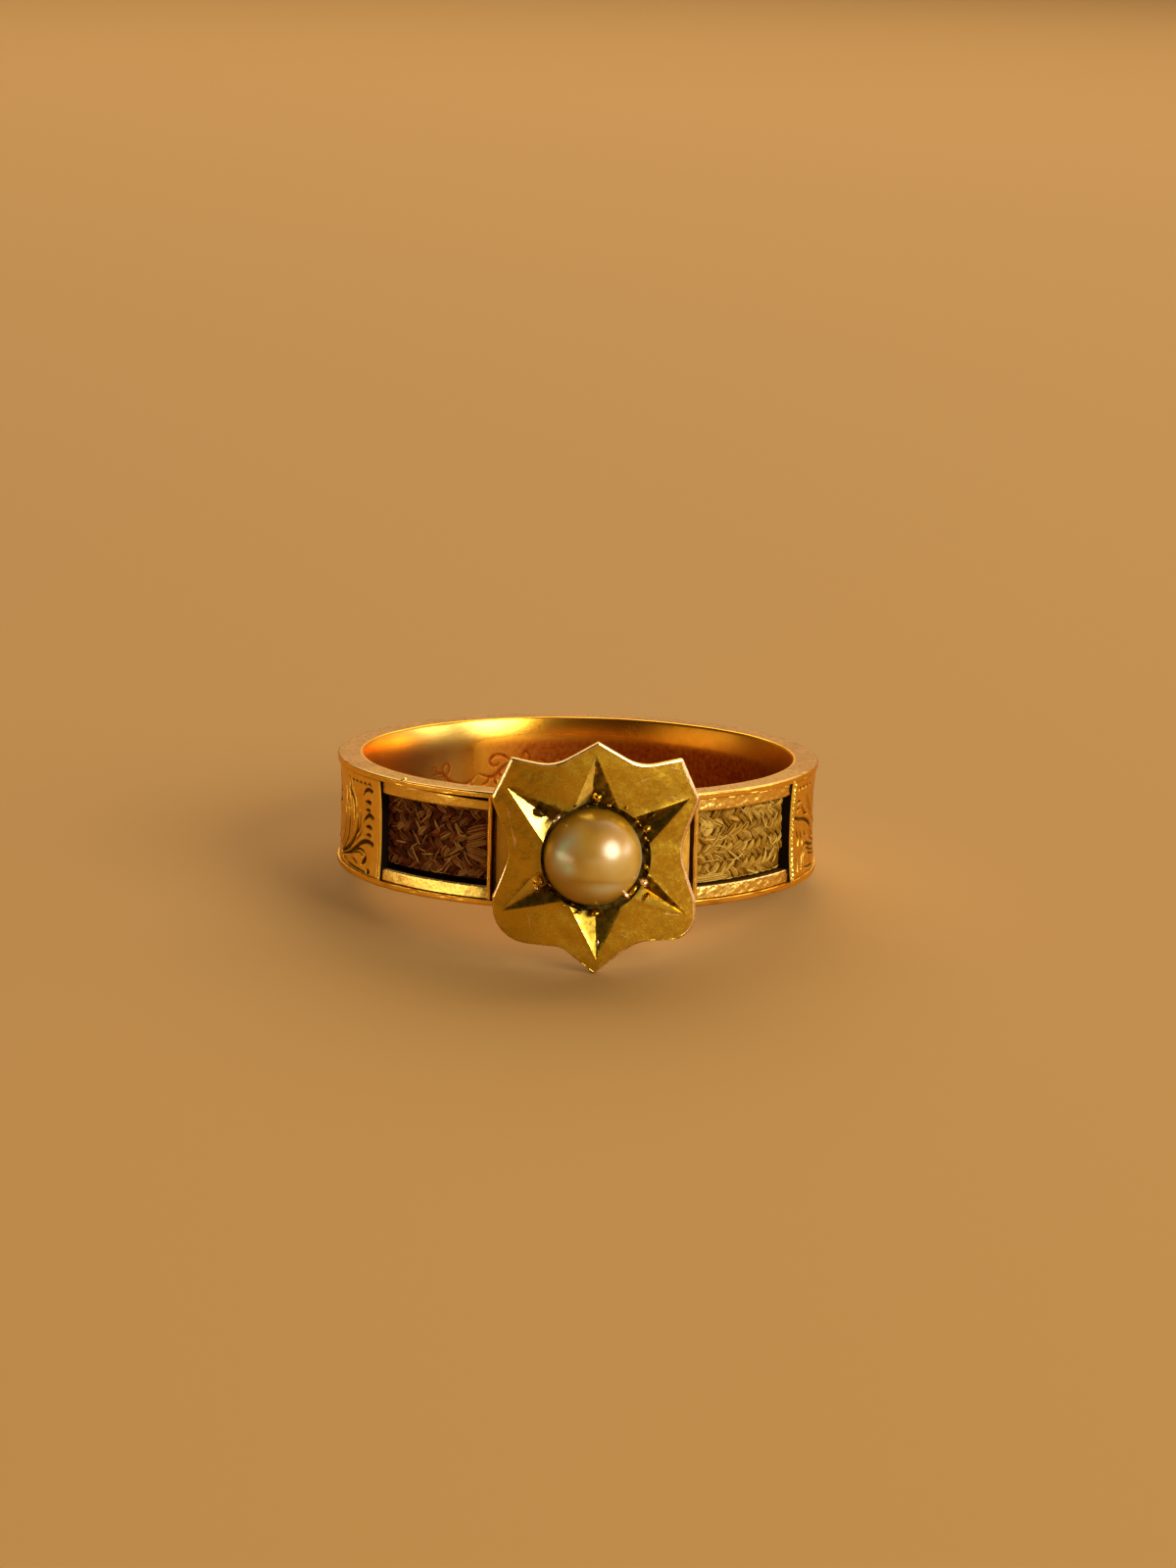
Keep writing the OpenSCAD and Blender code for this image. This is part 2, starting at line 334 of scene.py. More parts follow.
def spline(points, step=0.03):
    """Catmull-Rom line through the points, at about the given step."""
    p = np.asarray(points, float)
    if len(p) == 2:
        n = max(2, int(np.linalg.norm(p[1] - p[0]) / step))
        return p[0] + (p[1] - p[0]) * np.linspace(0, 1, n)[:, None]
    p = np.vstack([2 * p[0] - p[1], p, 2 * p[-1] - p[-2]])
    out = []
    for i in range(1, len(p) - 2):
        n = max(2, int(np.linalg.norm(p[i + 1] - p[i]) / step))
        t = np.linspace(0, 1, n, endpoint=False)[:, None]
        a, b, c, d = p[i - 1], p[i], p[i + 1], p[i + 2]
        out.append(0.5 * (2 * b + (c - a) * t + (2 * a - 5 * b + 4 * c - d) * t ** 2
                          + (3 * b - a - 3 * c + d) * t ** 3))
    out.append(p[-2:-1])
    return np.vstack(out)


def carve(u, v, strokes):
    """Depth of graver strokes over a grid. Each stroke: points, half width, depth, and blunt if it is."""
    depth = np.zeros(u.shape)
    for points, width, deep, *blunt in strokes:
        line = spline(points)
        t = np.linspace(0, 1, len(line))
        if blunt:
            taper = np.clip(np.sin(math.pi * (0.35 + 0.65 * t)), 0.05, 1)
        else:
            taper = np.clip(np.sin(math.pi * t) ** 0.55, 0.12, 1)
        lo, hi = line.min(0) - width, line.max(0) + width
        near = (u > lo[0]) & (u < hi[0]) & (v > lo[1]) & (v < hi[1])
        if near.any():
            gap = np.hypot(u[near][:, None] - line[:, 0], v[near][:, None] - line[:, 1])
            share = 1 - (gap / (width * taper)).min(1)
            depth[near] = np.maximum(depth[near], deep * np.clip(share, 0, 1))
    return depth


# Band: sleeve and rims
def band_profile():
    """Closed outline of the sleeve with its two rims, as rho and z."""
    def arc(cr, cz, r, a0, a1, n):
        a = np.radians(np.linspace(a0, a1, n))
        return np.stack([cr + r * np.cos(a), cz + r * np.sin(a)], 1)

    b = 0.05
    upper = [
        arc(FINGER_R + FLARE + b, HALF_H - b, b, 180, 90, 5),
        np.stack([np.linspace(FINGER_R + FLARE + 0.1, RIM_R - 0.16, 9), np.full(9, HALF_H)], 1),
        arc(RIM_R - 0.07, HALF_H - 0.07, 0.07, 90, 0, 6),
        np.stack([np.full(3, RIM_R), np.linspace(HALF_H - 0.12, PANEL_H + 0.03, 3)], 1),
        arc(RIM_R - 0.02, PANEL_H + 0.02, 0.02, 0, -90, 3),
        np.array([[FACE_R - 0.05, PANEL_H], [SLEEVE_R, PANEL_H]]),
    ]
    upper = np.vstack(upper)
    lower = upper[::-1] * [1, -1]
    wall_z = np.linspace(-HALF_H + b + 0.02, HALF_H - b - 0.02, 84)
    worn = np.clip((np.abs(wall_z) - FLARE_AT) / (HALF_H - FLARE_AT), 0, 1) ** 2 * FLARE
    wall = np.stack([FINGER_R + worn, wall_z], 1)
    sleeve = np.stack([np.full(2, SLEEVE_R), [1, -1]], 1)
    return np.vstack([wall, upper, sleeve, lower]), len(wall)


def flourish():
    """Engraved scroll on the inside of the band, as strokes over arc length and height."""
    leaves = [
        # points, half width
        ([(-1.3, 0), (-0.95, 0.32), (-0.45, 0.42), (0.1, 0.2), (0.6, -0.18), (1.3, 0)], 0.12),
        ([(-0.3, 0.42), (0.1, 0.72), (0.5, 0.74), (0.72, 0.5), (0.55, 0.28), (0.32, 0.36),
          (0.36, 0.52)], 0.1),
        ([(-0.95, 0.3), (-1.08, 0.6), (-0.9, 0.86), (-0.72, 0.6), (-0.86, 0.36)], 0.09),
        ([(0.35, 0.02), (0.12, -0.3), (0.25, -0.56), (0.48, -0.4), (0.42, -0.12)], 0.09),
        ([(0.72, -0.16), (0.86, -0.42), (1.1, -0.5)], 0.09),
    ]
    strokes = []
    for k in range(-3, 3):
        up = 1 if k % 2 else -1
        for points, width in leaves:
            strokes.append(([(k * 2.6 + u, -0.1 + up * v) for u, v in points], width, 1))
    return strokes


def make_sleeve():
    profile, wall = band_profile()
    radius, level = profile.T
    # finer where the scroll is
    angles = np.concatenate([np.linspace(105, 226, 430), np.linspace(226, 465, 240)[1:-1]])
    angle, rho, z = np.broadcast_arrays(angles[:, None], radius, level)
    u = np.radians(angle[:, :wall] - 180) * FINGER_R
    cut = SCROLL_DEPTH * np.sin(math.pi / 2 * np.clip(1.2 * carve(u, z[:, :wall], flourish()), 0, 1)) ** 2
    rho = rho.copy()
    rho[:, :wall] += cut
    points = around(angle, rho, z)
    swell = waves(points, 3.2, 4)
    nick = waves(points, 0.5, 5, 2)
    edge = fade(radius, RIM_R - 0.1, 0.1) * fade(np.abs(level), PANEL_H, 0.05)
    rho = rho + 0.012 * swell * (radius > 9) - edge * np.clip(nick - 0.45, 0, 1) * 0.05
    z = z - np.sign(z) * (edge * np.clip(nick - 0.3, 0, 1) * 0.04 - 0.006 * swell * (np.abs(z) > 2.2))
    wear_and_painted_light = np.zeros(rho.shape)
    bearing = angle[:, :wall] % 360
    # Inside, outside the engraving: lighter on the left back part where the light falls (painted
    # highlight); darker below a line from just left of the back's middle round to the right, and all over
    # on the right side (painted shade).
    painted_highlight = 0.55 * fade(bearing, 188, 25) * fade(bearing, 310, -30)
    low = 1 / (1 + np.exp((z[:, :wall] - 1.35) / 0.08))
    dimmed = np.maximum(0.95 * low * fade(bearing, 214, -12), 0.38 * fade(bearing, 176, -30) ** 2)
    dimmed = dimmed * fade(bearing, 50, 30)
    wear_and_painted_light[:, :wall] = np.maximum(np.clip(cut / 0.006, 0, 1), dimmed) - painted_highlight * (cut < 0.002)
    back = np.abs(radius - SLEEVE_R) < 0.01
    # Painted shade: the rims' undersides over the panels are darkened, and the sleeve's face behind the
    # hair and strips is darkened and near black.
    wear_and_painted_light[:, (radius < RIM_R - 0.03) & (np.abs(level) <= PANEL_H + 0.001) & (radius > 9)] = 0.9
    wear_and_painted_light[:, back] = 1
    index = np.zeros(rho.shape, int)
    index[:, (np.abs(level) > HALF_H - 0.02) & (radius > FINGER_R + FLARE + 0.06)] = 1
    index[:, :wall + 4] = 2
    index[:, back] = 3
    # The rims' tops are painted a little lighter at the front: painted highlight.
    in_front = np.cos(np.radians(angle)) > 0.4
    wear_and_painted_light[(index == 1) & in_front] -= 0.12
    build = Build()
    build.grid(around(angle, rho, z), wear_and_painted_light, wrap_u=True, wrap_v=True)
    build.done("band_sleeve", [BAND_GOLD, RIM_GOLD, INNER_GOLD, SHADE_BLACK], indices=index.reshape(-1))


make_sleeve()


# Windows: strips, bars, ridges. Angles of a window's near end and middle, and half its chord
WINDOW_START = BAR_AT + math.degrees(BAR_W / FACE_R) / 2
WINDOW_MID = (WINDOW_START + WINDOW_END) / 2
FAR_X = FACE_R * math.sin(math.radians(WINDOW_END - WINDOW_START) / 2)


def far_edge(z):
    """Angle of the window's far edge at height z."""
    x = FAR_X - WINDOW_BOW * (1 - (np.asarray(z) / PANEL_H) ** 2)
    return WINDOW_MID + np.degrees(np.arcsin(x / FACE_R))


def sided(points, side):
    return np.asarray(points, float) * [side, 1, 1]


def layers(side, angle, rho, z, flip, floor=SLEEVE_R):
    """Outer and inner grid of a block on one side of the band, turned so that it faces out."""
    grids = [sided(around(angle, r, z), side) for r in (rho, floor)]
    return [grid[:, ::-1] for grid in grids] if flip else grids


def make_strips():
    build = Build()
    bright = []
    shaded = []
    rows = 15
    share = np.linspace(0, 1, 180)[:, None]
    v = np.linspace(0, 1, rows)
    for side in (1, -1):
        for row in (1, -1):
            # the left upper strip has sunk away from the rim towards the bar
            wedge = 0.13 * fade(share, 0.6, -0.6) if side < 0 < row else 0.01
            z = row * (WINDOW_H / 2 + (PANEL_H - wedge - WINDOW_H / 2) * v)
            angle = BAR_AT + (far_edge(z) + 0.5 - BAR_AT) * share
            flat = sided(around(angle, FACE_R, z), side)
            hammer = 0.014 if side > 0 else 0.003
            bump = 0.012 * waves(flat + 7, 1.6, 11 + row) + hammer * waves(flat, 0.35, 13 + side)
            slope = (0.03 if side > 0 else 0.065) if row < 0 else 0.012
            edge = 0.03 * (bell(v, 0, 0.03) + bell(v, 1, 0.03))
            rho = FACE_R + bump * np.minimum(1, 5 * np.minimum(v, 1 - v)) + slope * (v - 0.5) - edge
            # Painted highlights: the right strips are lighter, most towards the bar; the lower left strip
            # is lighter all over; the upper left strip has a lighter patch at its middle and is a little
            # darker elsewhere.
            if side > 0:
                near_bar = np.clip(1.15 - share / 0.45, 0, 1)
                painted_highlight = 0.3 + 0.6 * near_bar * np.clip(0.6 + waves(flat, 0.5, 15), 0, 1)
            else:
                painted_highlight = 0.65 if row < 0 else 0.5 * bell(share, 0.38, 0.12) - 0.12
            # Darker along the edge beside the rim.
            darkening = 0.9 * bell(v, 1, 0.05)
            wear_and_painted_light = darkening - painted_highlight * (darkening < 0.2)
            flip = side * row < 0
            outer, inner = layers(side, angle, rho, z, flip)
            first = len(build.faces)
            first_side = slab(build, outer, inner, wear_and_painted_light[:, ::-1] if flip else wear_and_painted_light, 0.9)
            # The left strips' side walls are near black: painted shade.
            if side < 0:
                shaded.extend(range(first_side, len(build.faces)))
            # The lower strips' edge along the window is laid in a pale gold: a painted highlight line.
            if row < 0:
                column = 0 if side < 0 else rows - 2
                bright.extend(first + column + (rows - 1) * np.arange(len(share) - 1))
    indices = np.zeros(len(build.faces), int)
    indices[bright] = 1
    indices[shaded] = 2
    build.done("window_strips", [STRIP_GOLD, EDGE_GOLD, SHADE_BLACK], indices=indices)


def make_bars():
    build = Build()
    z = np.linspace(-1, 1, 60) * (PANEL_H - 0.005)
    section = np.linspace(-1, 1, 9)[:, None]
    rho = BAR_R - 0.05 * np.abs(section) ** 3 + 0.006 * waves(np.stack([z, z * 0], 1), 0.7, 21)
    for side in (1, -1):
        x = BAR_W / 2 * section + 0.012 * waves(np.stack([z, 0 * z + side], 1), 1.3, 20)
        grids = layers(side, BAR_AT + np.degrees(x / BAR_R), rho, z, side < 0)
        # The right bar is painted lighter (painted highlight), and the side walls of both are darkened
        # (painted shade).
        slab(build, *grids, -0.7 if side > 0 else 0.0, 0.5)
    build.done("window_bars", [BAND_GOLD])


make_strips()
make_bars()


# Shoulders
def left_motif():
    """Graver strokes of the left shoulder: arc length from the plaque's middle, and height."""
    thin = 0.035
    mid = 0.055
    strokes = [
        # curled tops of the leaf's lobes
        ([(10.22, 1.42), (10.5, 1.46), (10.85, 1.32), (11.12, 1.0)], 0.075, 0.075, "blunt"),
        ([(10.2, 0.36), (10.5, 0.42), (10.82, 0.26), (11.1, 0.0)], 0.08, 0.08, "blunt"),
        ([(10.2, -0.72), (10.55, -0.66), (11.05, -0.74), (11.6, -1.02), (12.3, -1.36),
          (13.1, -1.58), (14.0, -1.78)], 0.085, 0.08, "blunt"),
        # paired drops
        ([(10.38, 0.93), (10.62, 0.95), (10.92, 0.9)], 0.075, 0.08, "blunt"),
        ([(10.45, 0.6), (10.62, 0.62), (10.85, 0.56)], 0.065, 0.07, "blunt"),
        ([(10.36, -0.08), (10.6, -0.05), (10.92, -0.12)], 0.075, 0.08, "blunt"),
        ([(10.42, -0.4), (10.62, -0.38), (10.88, -0.45)], 0.065, 0.07, "blunt"),
        # long parallel sweeps
        ([(12.5, 1.62), (12.36, 1.2), (12.08, 0.85), (11.95, 0.4), (11.92, 0.0),
          (11.98, -0.4)], 0.085, 0.085, "blunt"),
        ([(12.72, 1.4), (12.5, 1.05), (12.32, 0.6), (12.28, 0.1), (12.4, -0.5),
          (12.75, -1.0)], thin, 0.04),
        ([(13.05, 1.3), (12.85, 0.85), (12.6, 0.45), (12.52, 0.0), (12.66, -0.55), (13.0, -1.05),
          (13.6, -1.5)], 0.07, 0.07),
        ([(13.5, 1.25), (13.1, 0.95), (12.9, 0.5), (12.85, 0.05), (12.98, -0.5), (13.35, -1.05),
          (13.9, -1.55)], thin, 0.05),
        ([(13.7, 0.95), (13.4, 0.6), (13.2, 0.2), (13.22, -0.3), (13.5, -0.9),
          (14.0, -1.4)], mid, 0.06),
        ([(11.62, 0.5), (11.55, 0.0), (11.7, -0.5), (12.2, -1.0), (13.0, -1.38),
          (13.9, -1.66)], 0.09, 0.07),
        ([(12.2, 1.68), (11.98, 1.3), (11.78, 0.9), (11.66, 0.5)], 0.045, 0.05),
        ([(11.35, 0.62), (11.3, 0.2), (11.42, -0.25), (11.75, -0.62)], 0.05, 0.05),
        ([(11.16, -0.1), (11.24, -0.38), (11.48, -0.62), (11.8, -0.85)], 0.04, 0.045),
        ([(11.95, -0.55), (12.2, -0.9), (12.7, -1.22), (13.4, -1.5)], 0.05, 0.05),
        ([(12.3, -0.75), (12.65, -1.1), (13.2, -1.38), (13.8, -1.55)], 0.04, 0.045),
        # lower leaf
        ([(13.6, -1.66), (12.8, -1.52), (12.0, -1.26), (11.4, -1.08), (10.95, -1.1),
          (10.7, -1.32)], 0.06, 0.065),
        ([(12.5, -1.5), (11.9, -1.33), (11.45, -1.22), (11.1, -1.26), (10.92, -1.4)], thin, 0.045),
        ([(10.8, -1.36), (10.86, -1.46), (11.02, -1.56), (11.12, -1.74)], 0.1, 0.1, "blunt"),
        ([(12.1, -1.6), (11.8, -1.6), (11.5, -1.72)], mid, 0.05),
        ([(13.4, -1.76), (12.5, -1.86), (11.5, -1.9), (10.6, -1.9)], 0.06, 0.06),
        ([(10.5, -1.82), (10.34, -1.86)], 0.1, 0.08, "blunt"),
    ]
    for k, at in enumerate((10.4, 10.78, 11.16, 11.56, 11.98)):
        strokes.append(([(at - 0.17, 1.6), (at, 1.7 - 0.02 * k), (at + 0.17, 1.62)], 0.045, 0.05))
    return strokes


def right_motif():
    """Graver strokes of the right shoulder."""
    strokes = [
        ([(10.12, 0.46), (10.5, 0.36), (11.0, 0.28), (11.5, 0.18), (12.0, -0.06), (12.7, -0.52),
          (13.6, -0.9)], 0.085, 0.08, "blunt"),
        ([(10.7, 0.92), (10.95, 0.72), (11.3, 0.5), (11.7, 0.4)], 0.07, 0.065),
        ([(10.28, 0.2), (10.3, -0.1), (10.5, -0.42), (10.42, -0.7)], 0.06, 0.07),
        ([(10.7, 0.1), (10.72, -0.2), (10.95, -0.5), (10.9, -0.78)], 0.06, 0.07),
        ([(11.25, 0.02), (11.3, -0.25), (11.55, -0.5)], 0.06, 0.06),
        ([(10.75, -1.75), (10.85, -1.15), (11.25, -0.85), (11.75, -0.82), (12.5, -1.02),
          (13.6, -1.16)], 0.08, 0.08),
        ([(11.1, -1.6), (11.25, -1.15), (11.7, -1.0), (12.4, -1.2), (13.4, -1.36)], 0.055, 0.055),
        ([(11.6, -1.5), (12.0, -1.3), (12.8, -1.44), (13.5, -1.54)], 0.05, 0.05),
        ([(10.34, -1.75), (10.36, -1.3), (10.4, -0.98)], 0.06, 0.07),
        ([(11.2, -1.72), (12.2, -1.84), (13.4, -1.88)], 0.06, 0.06),
        ([(12.2, 1.5), (12.5, 0.9), (12.9, 0.3), (13.6, -0.3)], 0.06, 0.055),
        ([(12.7, 1.5), (13.0, 0.9), (13.4, 0.4), (14.0, 0.0)], 0.05, 0.05),
        ([(11.7, 1.2), (12.0, 0.8), (12.4, 0.3)], 0.05, 0.04),
        ([(10.25, 0.72), (10.42, 0.8), (10.62, 0.74)], 0.06, 0.06, "blunt"),
        ([(10.25, 1.02), (10.45, 1.1), (10.7, 1.02)], 0.06, 0.06, "blunt"),
        ([(11.2, 1.3), (11.5, 1.0), (11.9, 0.6), (12.4, 0.05), (13.0, -0.4)], 0.05, 0.045),
        ([(11.9, -0.3), (12.5, -0.72), (13.3, -1.0)], 0.045, 0.045),
    ]
    for at in (10.45, 10.85, 11.3, 11.8):
        strokes.append(([(at - 0.16, 1.52), (at, 1.66), (at + 0.16, 1.54)], 0.05, 0.05))
    return strokes


def back_motif(start, flip):
    """Leaf that repeats round the back of the band."""
    rows = [
        ([(0.2, 1.5), (0.9, 1.0), (1.2, 0.2), (1.6, -0.7), (2.6, -1.4), (3.8, -1.7)], 0.08, 0.07),
        ([(0.8, 1.6), (1.4, 1.0), (1.65, 0.2), (2.1, -0.6), (3.0, -1.15), (3.9, -1.4)], 0.05, 0.05),
        ([(1.4, 1.65), (1.95, 1.0), (2.15, 0.3), (2.6, -0.35), (3.4, -0.85), (4.0, -1.0)], 0.07, 0.06),
        ([(2.1, 1.65), (2.5, 1.1), (2.7, 0.5), (3.2, 0.0), (3.9, -0.35)], 0.05, 0.05),
        ([(0.3, -0.2), (0.6, -0.9), (1.3, -1.4), (2.2, -1.7)], 0.08, 0.07),
        ([(0.25, 0.6), (0.45, 0.35), (0.7, 0.3)], 0.07, 0.07),
        ([(0.2, 0.95), (0.4, 0.75), (0.62, 0.72)], 0.06, 0.06),
        ([(0.25, -1.1), (0.5, -1.4), (0.95, -1.66)], 0.06, 0.06),
        ([(3.0, 1.7), (3.3, 1.2), (3.9, 0.8)], 0.08, 0.07),
        ([(3.2, 0.75), (3.5, 0.5), (3.95, 0.3)], 0.05, 0.05),
    ]
    up = -1 if flip else 1
    return [([(start + u, up * v) for u, v in points], *rest) for points, *rest in rows]


def make_ridge_ends():
    """Small feet where the ridges run over the rims."""
    build = Build()
    for side, row, size in ((1, 1, 0.1), (1, -1, 0.11), (-1, -1, 0.085)):
        angle = far_edge(row * PANEL_H) + 0.55
        centre = sided(around(angle, FACE_R + 0.07, row * 1.93), side)
        add_blob(build, blob(centre, size, 90 + row + side, (0.9, 0.9, 2.1)))
    # a burr on the left rim, with its dark root
    add_blob(build, blob(around(-48.6, RIM_R - 0.2, HALF_H + 0.01), 0.07, 94, (1.2, 0.8, 0.9)))
    add_blob(build, blob(around(-48.6, RIM_R - 0.08, HALF_H - 0.02), 0.07, 95, (1.4, 0.8, 0.6)), 1.0)
    build.done("ridge_ends", [BRIGHT_GOLD], sharp=0)


def make_shoulder(side, name, strokes, seed):
    z = np.linspace(-1, 1, 128) * (PANEL_H - 0.006)
    # the part that is seen ends here, and what lies behind is coarser
    fine_end = 86.0
    begin = far_edge(z)
    angle = np.vstack([begin + (fine_end - begin) * np.linspace(0, 1, 270)[:, None],
                       np.linspace(fine_end, 180, 400)[1:, None] + 0 * z])
    u = np.radians(angle) * FACE_R
    v = np.broadcast_to(z, u.shape)
    flat = np.stack([u, v], -1)
    edge_u = u - np.radians(begin) * FACE_R
    for k in range(5):
        strokes = strokes + back_motif(13.95 + 3.26 * k, k % 2 == 1)
    cut = 1.3 * carve(u, v, [(points, 1.25 * width, *rest) for points, width, *rest in strokes])
    # the panel is dished, and its edges stand almost level with the rims
    dish = 0.085 * (np.abs(v) / PANEL_H) ** 2.6
    ridge = 0.1 * np.clip(1 - ((edge_u - 0.06) / 0.1) ** 2, 0, 1)
    gutter = -0.09 * bell(edge_u, 0.22, 0.06)
    if side > 0:
        milled = np.clip(1 - np.abs(edge_u - 0.34) / 0.2, 0, 1)
        gutter = 0.3 * gutter + milled * (0.03 + 0.03 * waves(flat, 0.16, 35, 2))
    swell = 0.03 * waves(flat, 1.5, seed) * np.clip(edge_u - 0.4, 0, 1)
    rho = np.minimum(FACE_R - 0.02 + dish + ridge + gutter + swell - cut, RIM_R - 0.005)
    # Painted shade in the groove beside the ridge: strong on the left shoulder, faint on the right.
    groove_shade = bell(edge_u, 0.22, 0.05) * (0.9 if side < 0 else 0.25)
    wear_and_painted_light = np.maximum(np.clip(cut / 0.03, 0, 1), groove_shade)
    wear_and_painted_light = np.maximum(wear_and_painted_light, 0.9 * bell(np.abs(v), PANEL_H, 0.05))
    wear_and_painted_light = wear_and_painted_light - (wear_and_painted_light < 0.05) * np.clip(0.2 + 0.3 * waves(flat, 0.8, seed + 5), 0, 1)
    # The ridge's crest is laid in a pale gold: painted highlight.
    crest = (edge_u[:-1, :-1] < (0.12 if side < 0 else 0.5)).astype(int)
    if side < 0:
        wear_and_painted_light, crest = wear_and_painted_light[:, ::-1], crest[:, ::-1]
    build = Build()
    first_side = slab(build, *layers(side, angle, rho, v, side < 0), wear_and_painted_light, 1.0)
    indices = np.zeros(len(build.faces), int)
    indices[:crest.size] = crest.reshape(-1)
    # The side walls are near black: painted shade.
    indices[first_side:] = 2
    build.done(name, [BAND_GOLD, BRIGHT_GOLD, SHADE_BLACK], sharp=60, indices=indices)


make_shoulder(1, "shoulder_right", right_motif(), 31)
make_shoulder(-1, "shoulder_left", left_motif(), 32)


# Plaque with its star, the pearl's seat and the block
PLAQUE_ROWS = [
    # x, z, rounding, as shares of the half width and half height
    (0, 1, 0.03), (0.417, 0.784, 0.42), (0.817, 0.846, 0.03), (1.003, 0.481, 0.09),
    (0.802, 0.045, 0.42), (0.98, -0.385, 0.1), (0.998, -0.724, 0.22), (0.405, -0.722, 0.4), (0, -1, 0.03),
    (-0.315, -0.772, 0.2), (-0.975, -0.735, 0.34), (-0.972, -0.375, 0.1),
    (-0.802, 0.045, 0.42), (-1.003, 0.481, 0.09), (-0.817, 0.846, 0.03), (-0.417, 0.784, 0.42),
]
RAYS = [
    # x, z of the tip, half width at the hollow, crease off the middle as a share of it, and tarnish and
    # painted shade of the sides left and right of the way out, where a side below 0 is a painted
    # highlight
    (-0.07, 4.0, 0.86, 0.2, -0.2, 1.0), (3.58, 2.24, 0.61, 0, 0.5, 1.0),
    (3.58, -2.32, 0.57, 0, 0.9, 0.1), (0.07, -3.92, 1.0, 0, 1.0, 0.65),
    (-3.54, -2.16, 0.76, 0, 1.0, -0.15), (-3.37, 2.6, 0.76, -0.1, -0.1, 0.8),
]
SCRATCHES = [
    # x and z of both ends, and width
    (-3.4, 1.9, -3.25, 1.35, 0.035), (-3.22, 1.2, -3.02, 0.2, 0.04), (-3.1, 0.75, -3.0, 0.5, 0.05),
    (2.6, 2.35, 3.5, 2.2, 0.025), (2.75, 3.5, 3.15, 3.35, 0.03), (2.6, -2.15, 3.3, -2.3, 0.025),
    (-2.55, -2.15, -2.45, -2.75, 0.02), (1.5, 2.9, 2.0, 3.1, 0.02), (0.9, -2.9, 1.35, -3.1, 0.02),
]


def rounded(corners, n=6):
    """Closed outline through corners of x, z and radius, each with an arc of n steps."""
    out = []
    for i, (bx, bz, r) in enumerate(corners):
        a = np.array(corners[i - 1][:2])
        b = np.array([bx, bz])
        c = np.array(corners[(i + 1) % len(corners)][:2])
        u = (a - b) / np.linalg.norm(a - b)
        v = (c - b) / np.linalg.norm(c - b)
        turn = math.acos(np.clip(u @ v, -1, 1)) / 2
        m = (u + v) / np.linalg.norm(u + v)
        centre = b + m * r / math.sin(turn)
        side = np.sign(u[0] * v[1] - u[1] * v[0])
        for k in range(n + 1):
            t = side * (math.pi / 2 - turn) * (2 * k / n - 1)
            out.append(centre + r * np.array([-m[0] * math.cos(t) - m[1] * math.sin(t),
                                              m[0] * math.sin(t) - m[1] * math.cos(t)]))
    return np.array(out)


def resample(loop, step):
    """Adds points along a closed outline, keeping its own."""
    out = []
    for a, b in zip(loop, np.roll(loop, -1, 0)):
        n = max(1, int(round(np.linalg.norm(b - a) / step)))
        out.extend(a + (b - a) * k / n for k in range(n))
    return np.array(out)


def directions(steps):
    return steps / np.linalg.norm(steps, axis=1)[:, None]


def inset(loop, by):
    """Closed outline moved inwards by one distance, or by its own at each point."""
    tangent = directions(directions(np.roll(loop, -1, 0) - loop) + directions(loop - np.roll(loop, 1, 0)))
    normal = np.stack([tangent[:, 1], -tangent[:, 0]], 1)
    return loop + normal * np.asarray(by).reshape(-1, 1)


def inside(points, loop):
    x, z = points[:, 0][:, None], points[:, 1][:, None]
    a, b = loop, np.roll(loop, -1, 0)
    crosses = ((a[:, 1] > z) != (b[:, 1] > z)) & (
        x < (b[:, 0] - a[:, 0]) * (z - a[:, 1]) / (b[:, 1] - a[:, 1] + 1e-12) + a[:, 0])
    return crosses.sum(1) % 2 == 1


def ray_depth(p):
    """Depth of the star's V cuts at points, and the tarnish and painted shade of the side that each point
    is on, below 0 a painted highlight.
    """
    depth = np.zeros(len(p))
    tarnish_and_painted_light = np.zeros(len(p))
    for x, z, half, bend, after, before in RAYS:
        length = math.hypot(x, z)
        way = np.array([x, z]) / length
        along = p @ way
        offset = p @ np.array([-way[1], way[0]])
        left = np.clip((length - along) / (length - SEAT_R), 0, 1.3)
        mouth = length - math.sqrt(SEAT_R ** 2 - half ** 2)
        reach = half * np.clip((length - along) / mouth, 0, 1.3) + 1e-9
        crease = bend * reach
        side = np.where(offset > crease, 1, -1)
        share = (reach - side * offset) / (reach - side * crease)
        here = np.where(along > 1.2, RAY_DEPTH * left * np.clip(share, 0, 1), 0)
        tarnish_and_painted_light = np.where(here > depth, np.where(side > 0, after, before), tarnish_and_painted_light)
        depth = np.maximum(depth, here)
    return depth, tarnish_and_painted_light


def ray_edge(p):
    """Distance of points from the nearest edge of a ray."""
    nearest = np.full(len(p), 9.0)
    for x, z, half, _, _, _ in RAYS:
        tip = np.array([x, z])
        mid = math.atan2(z, x)
        wide = math.asin(half / SEAT_R)
        for angle in (mid - wide, mid + wide):
            start = SEAT_R * np.array([math.cos(angle), math.sin(angle)])
            way = tip - start
            t = np.clip((p - start) @ way / (way @ way), 0, 1)
            gap = p - start - t[:, None] * way
            nearest = np.minimum(nearest, np.hypot(gap[:, 0], gap[:, 1]))
    return nearest


def facing(p, height, radius=PLAQUE_R):
    """Points of the plaque: x, z and a height over the plaque's curved face."""
    x = p[:, 0]
    return np.stack([x, -(np.sqrt(radius ** 2 - x ** 2) + height), p[:, 1]], 1)


def gaps(a, b):
    """Distance of each point of a from each point of b."""
    return np.hypot(a[:, None, 0] - b[None, :, 0], a[:, None, 1] - b[None, :, 1])


def loop_edges(start, n):
    return [(start + i, start + (i + 1) % n) for i in range(n)]


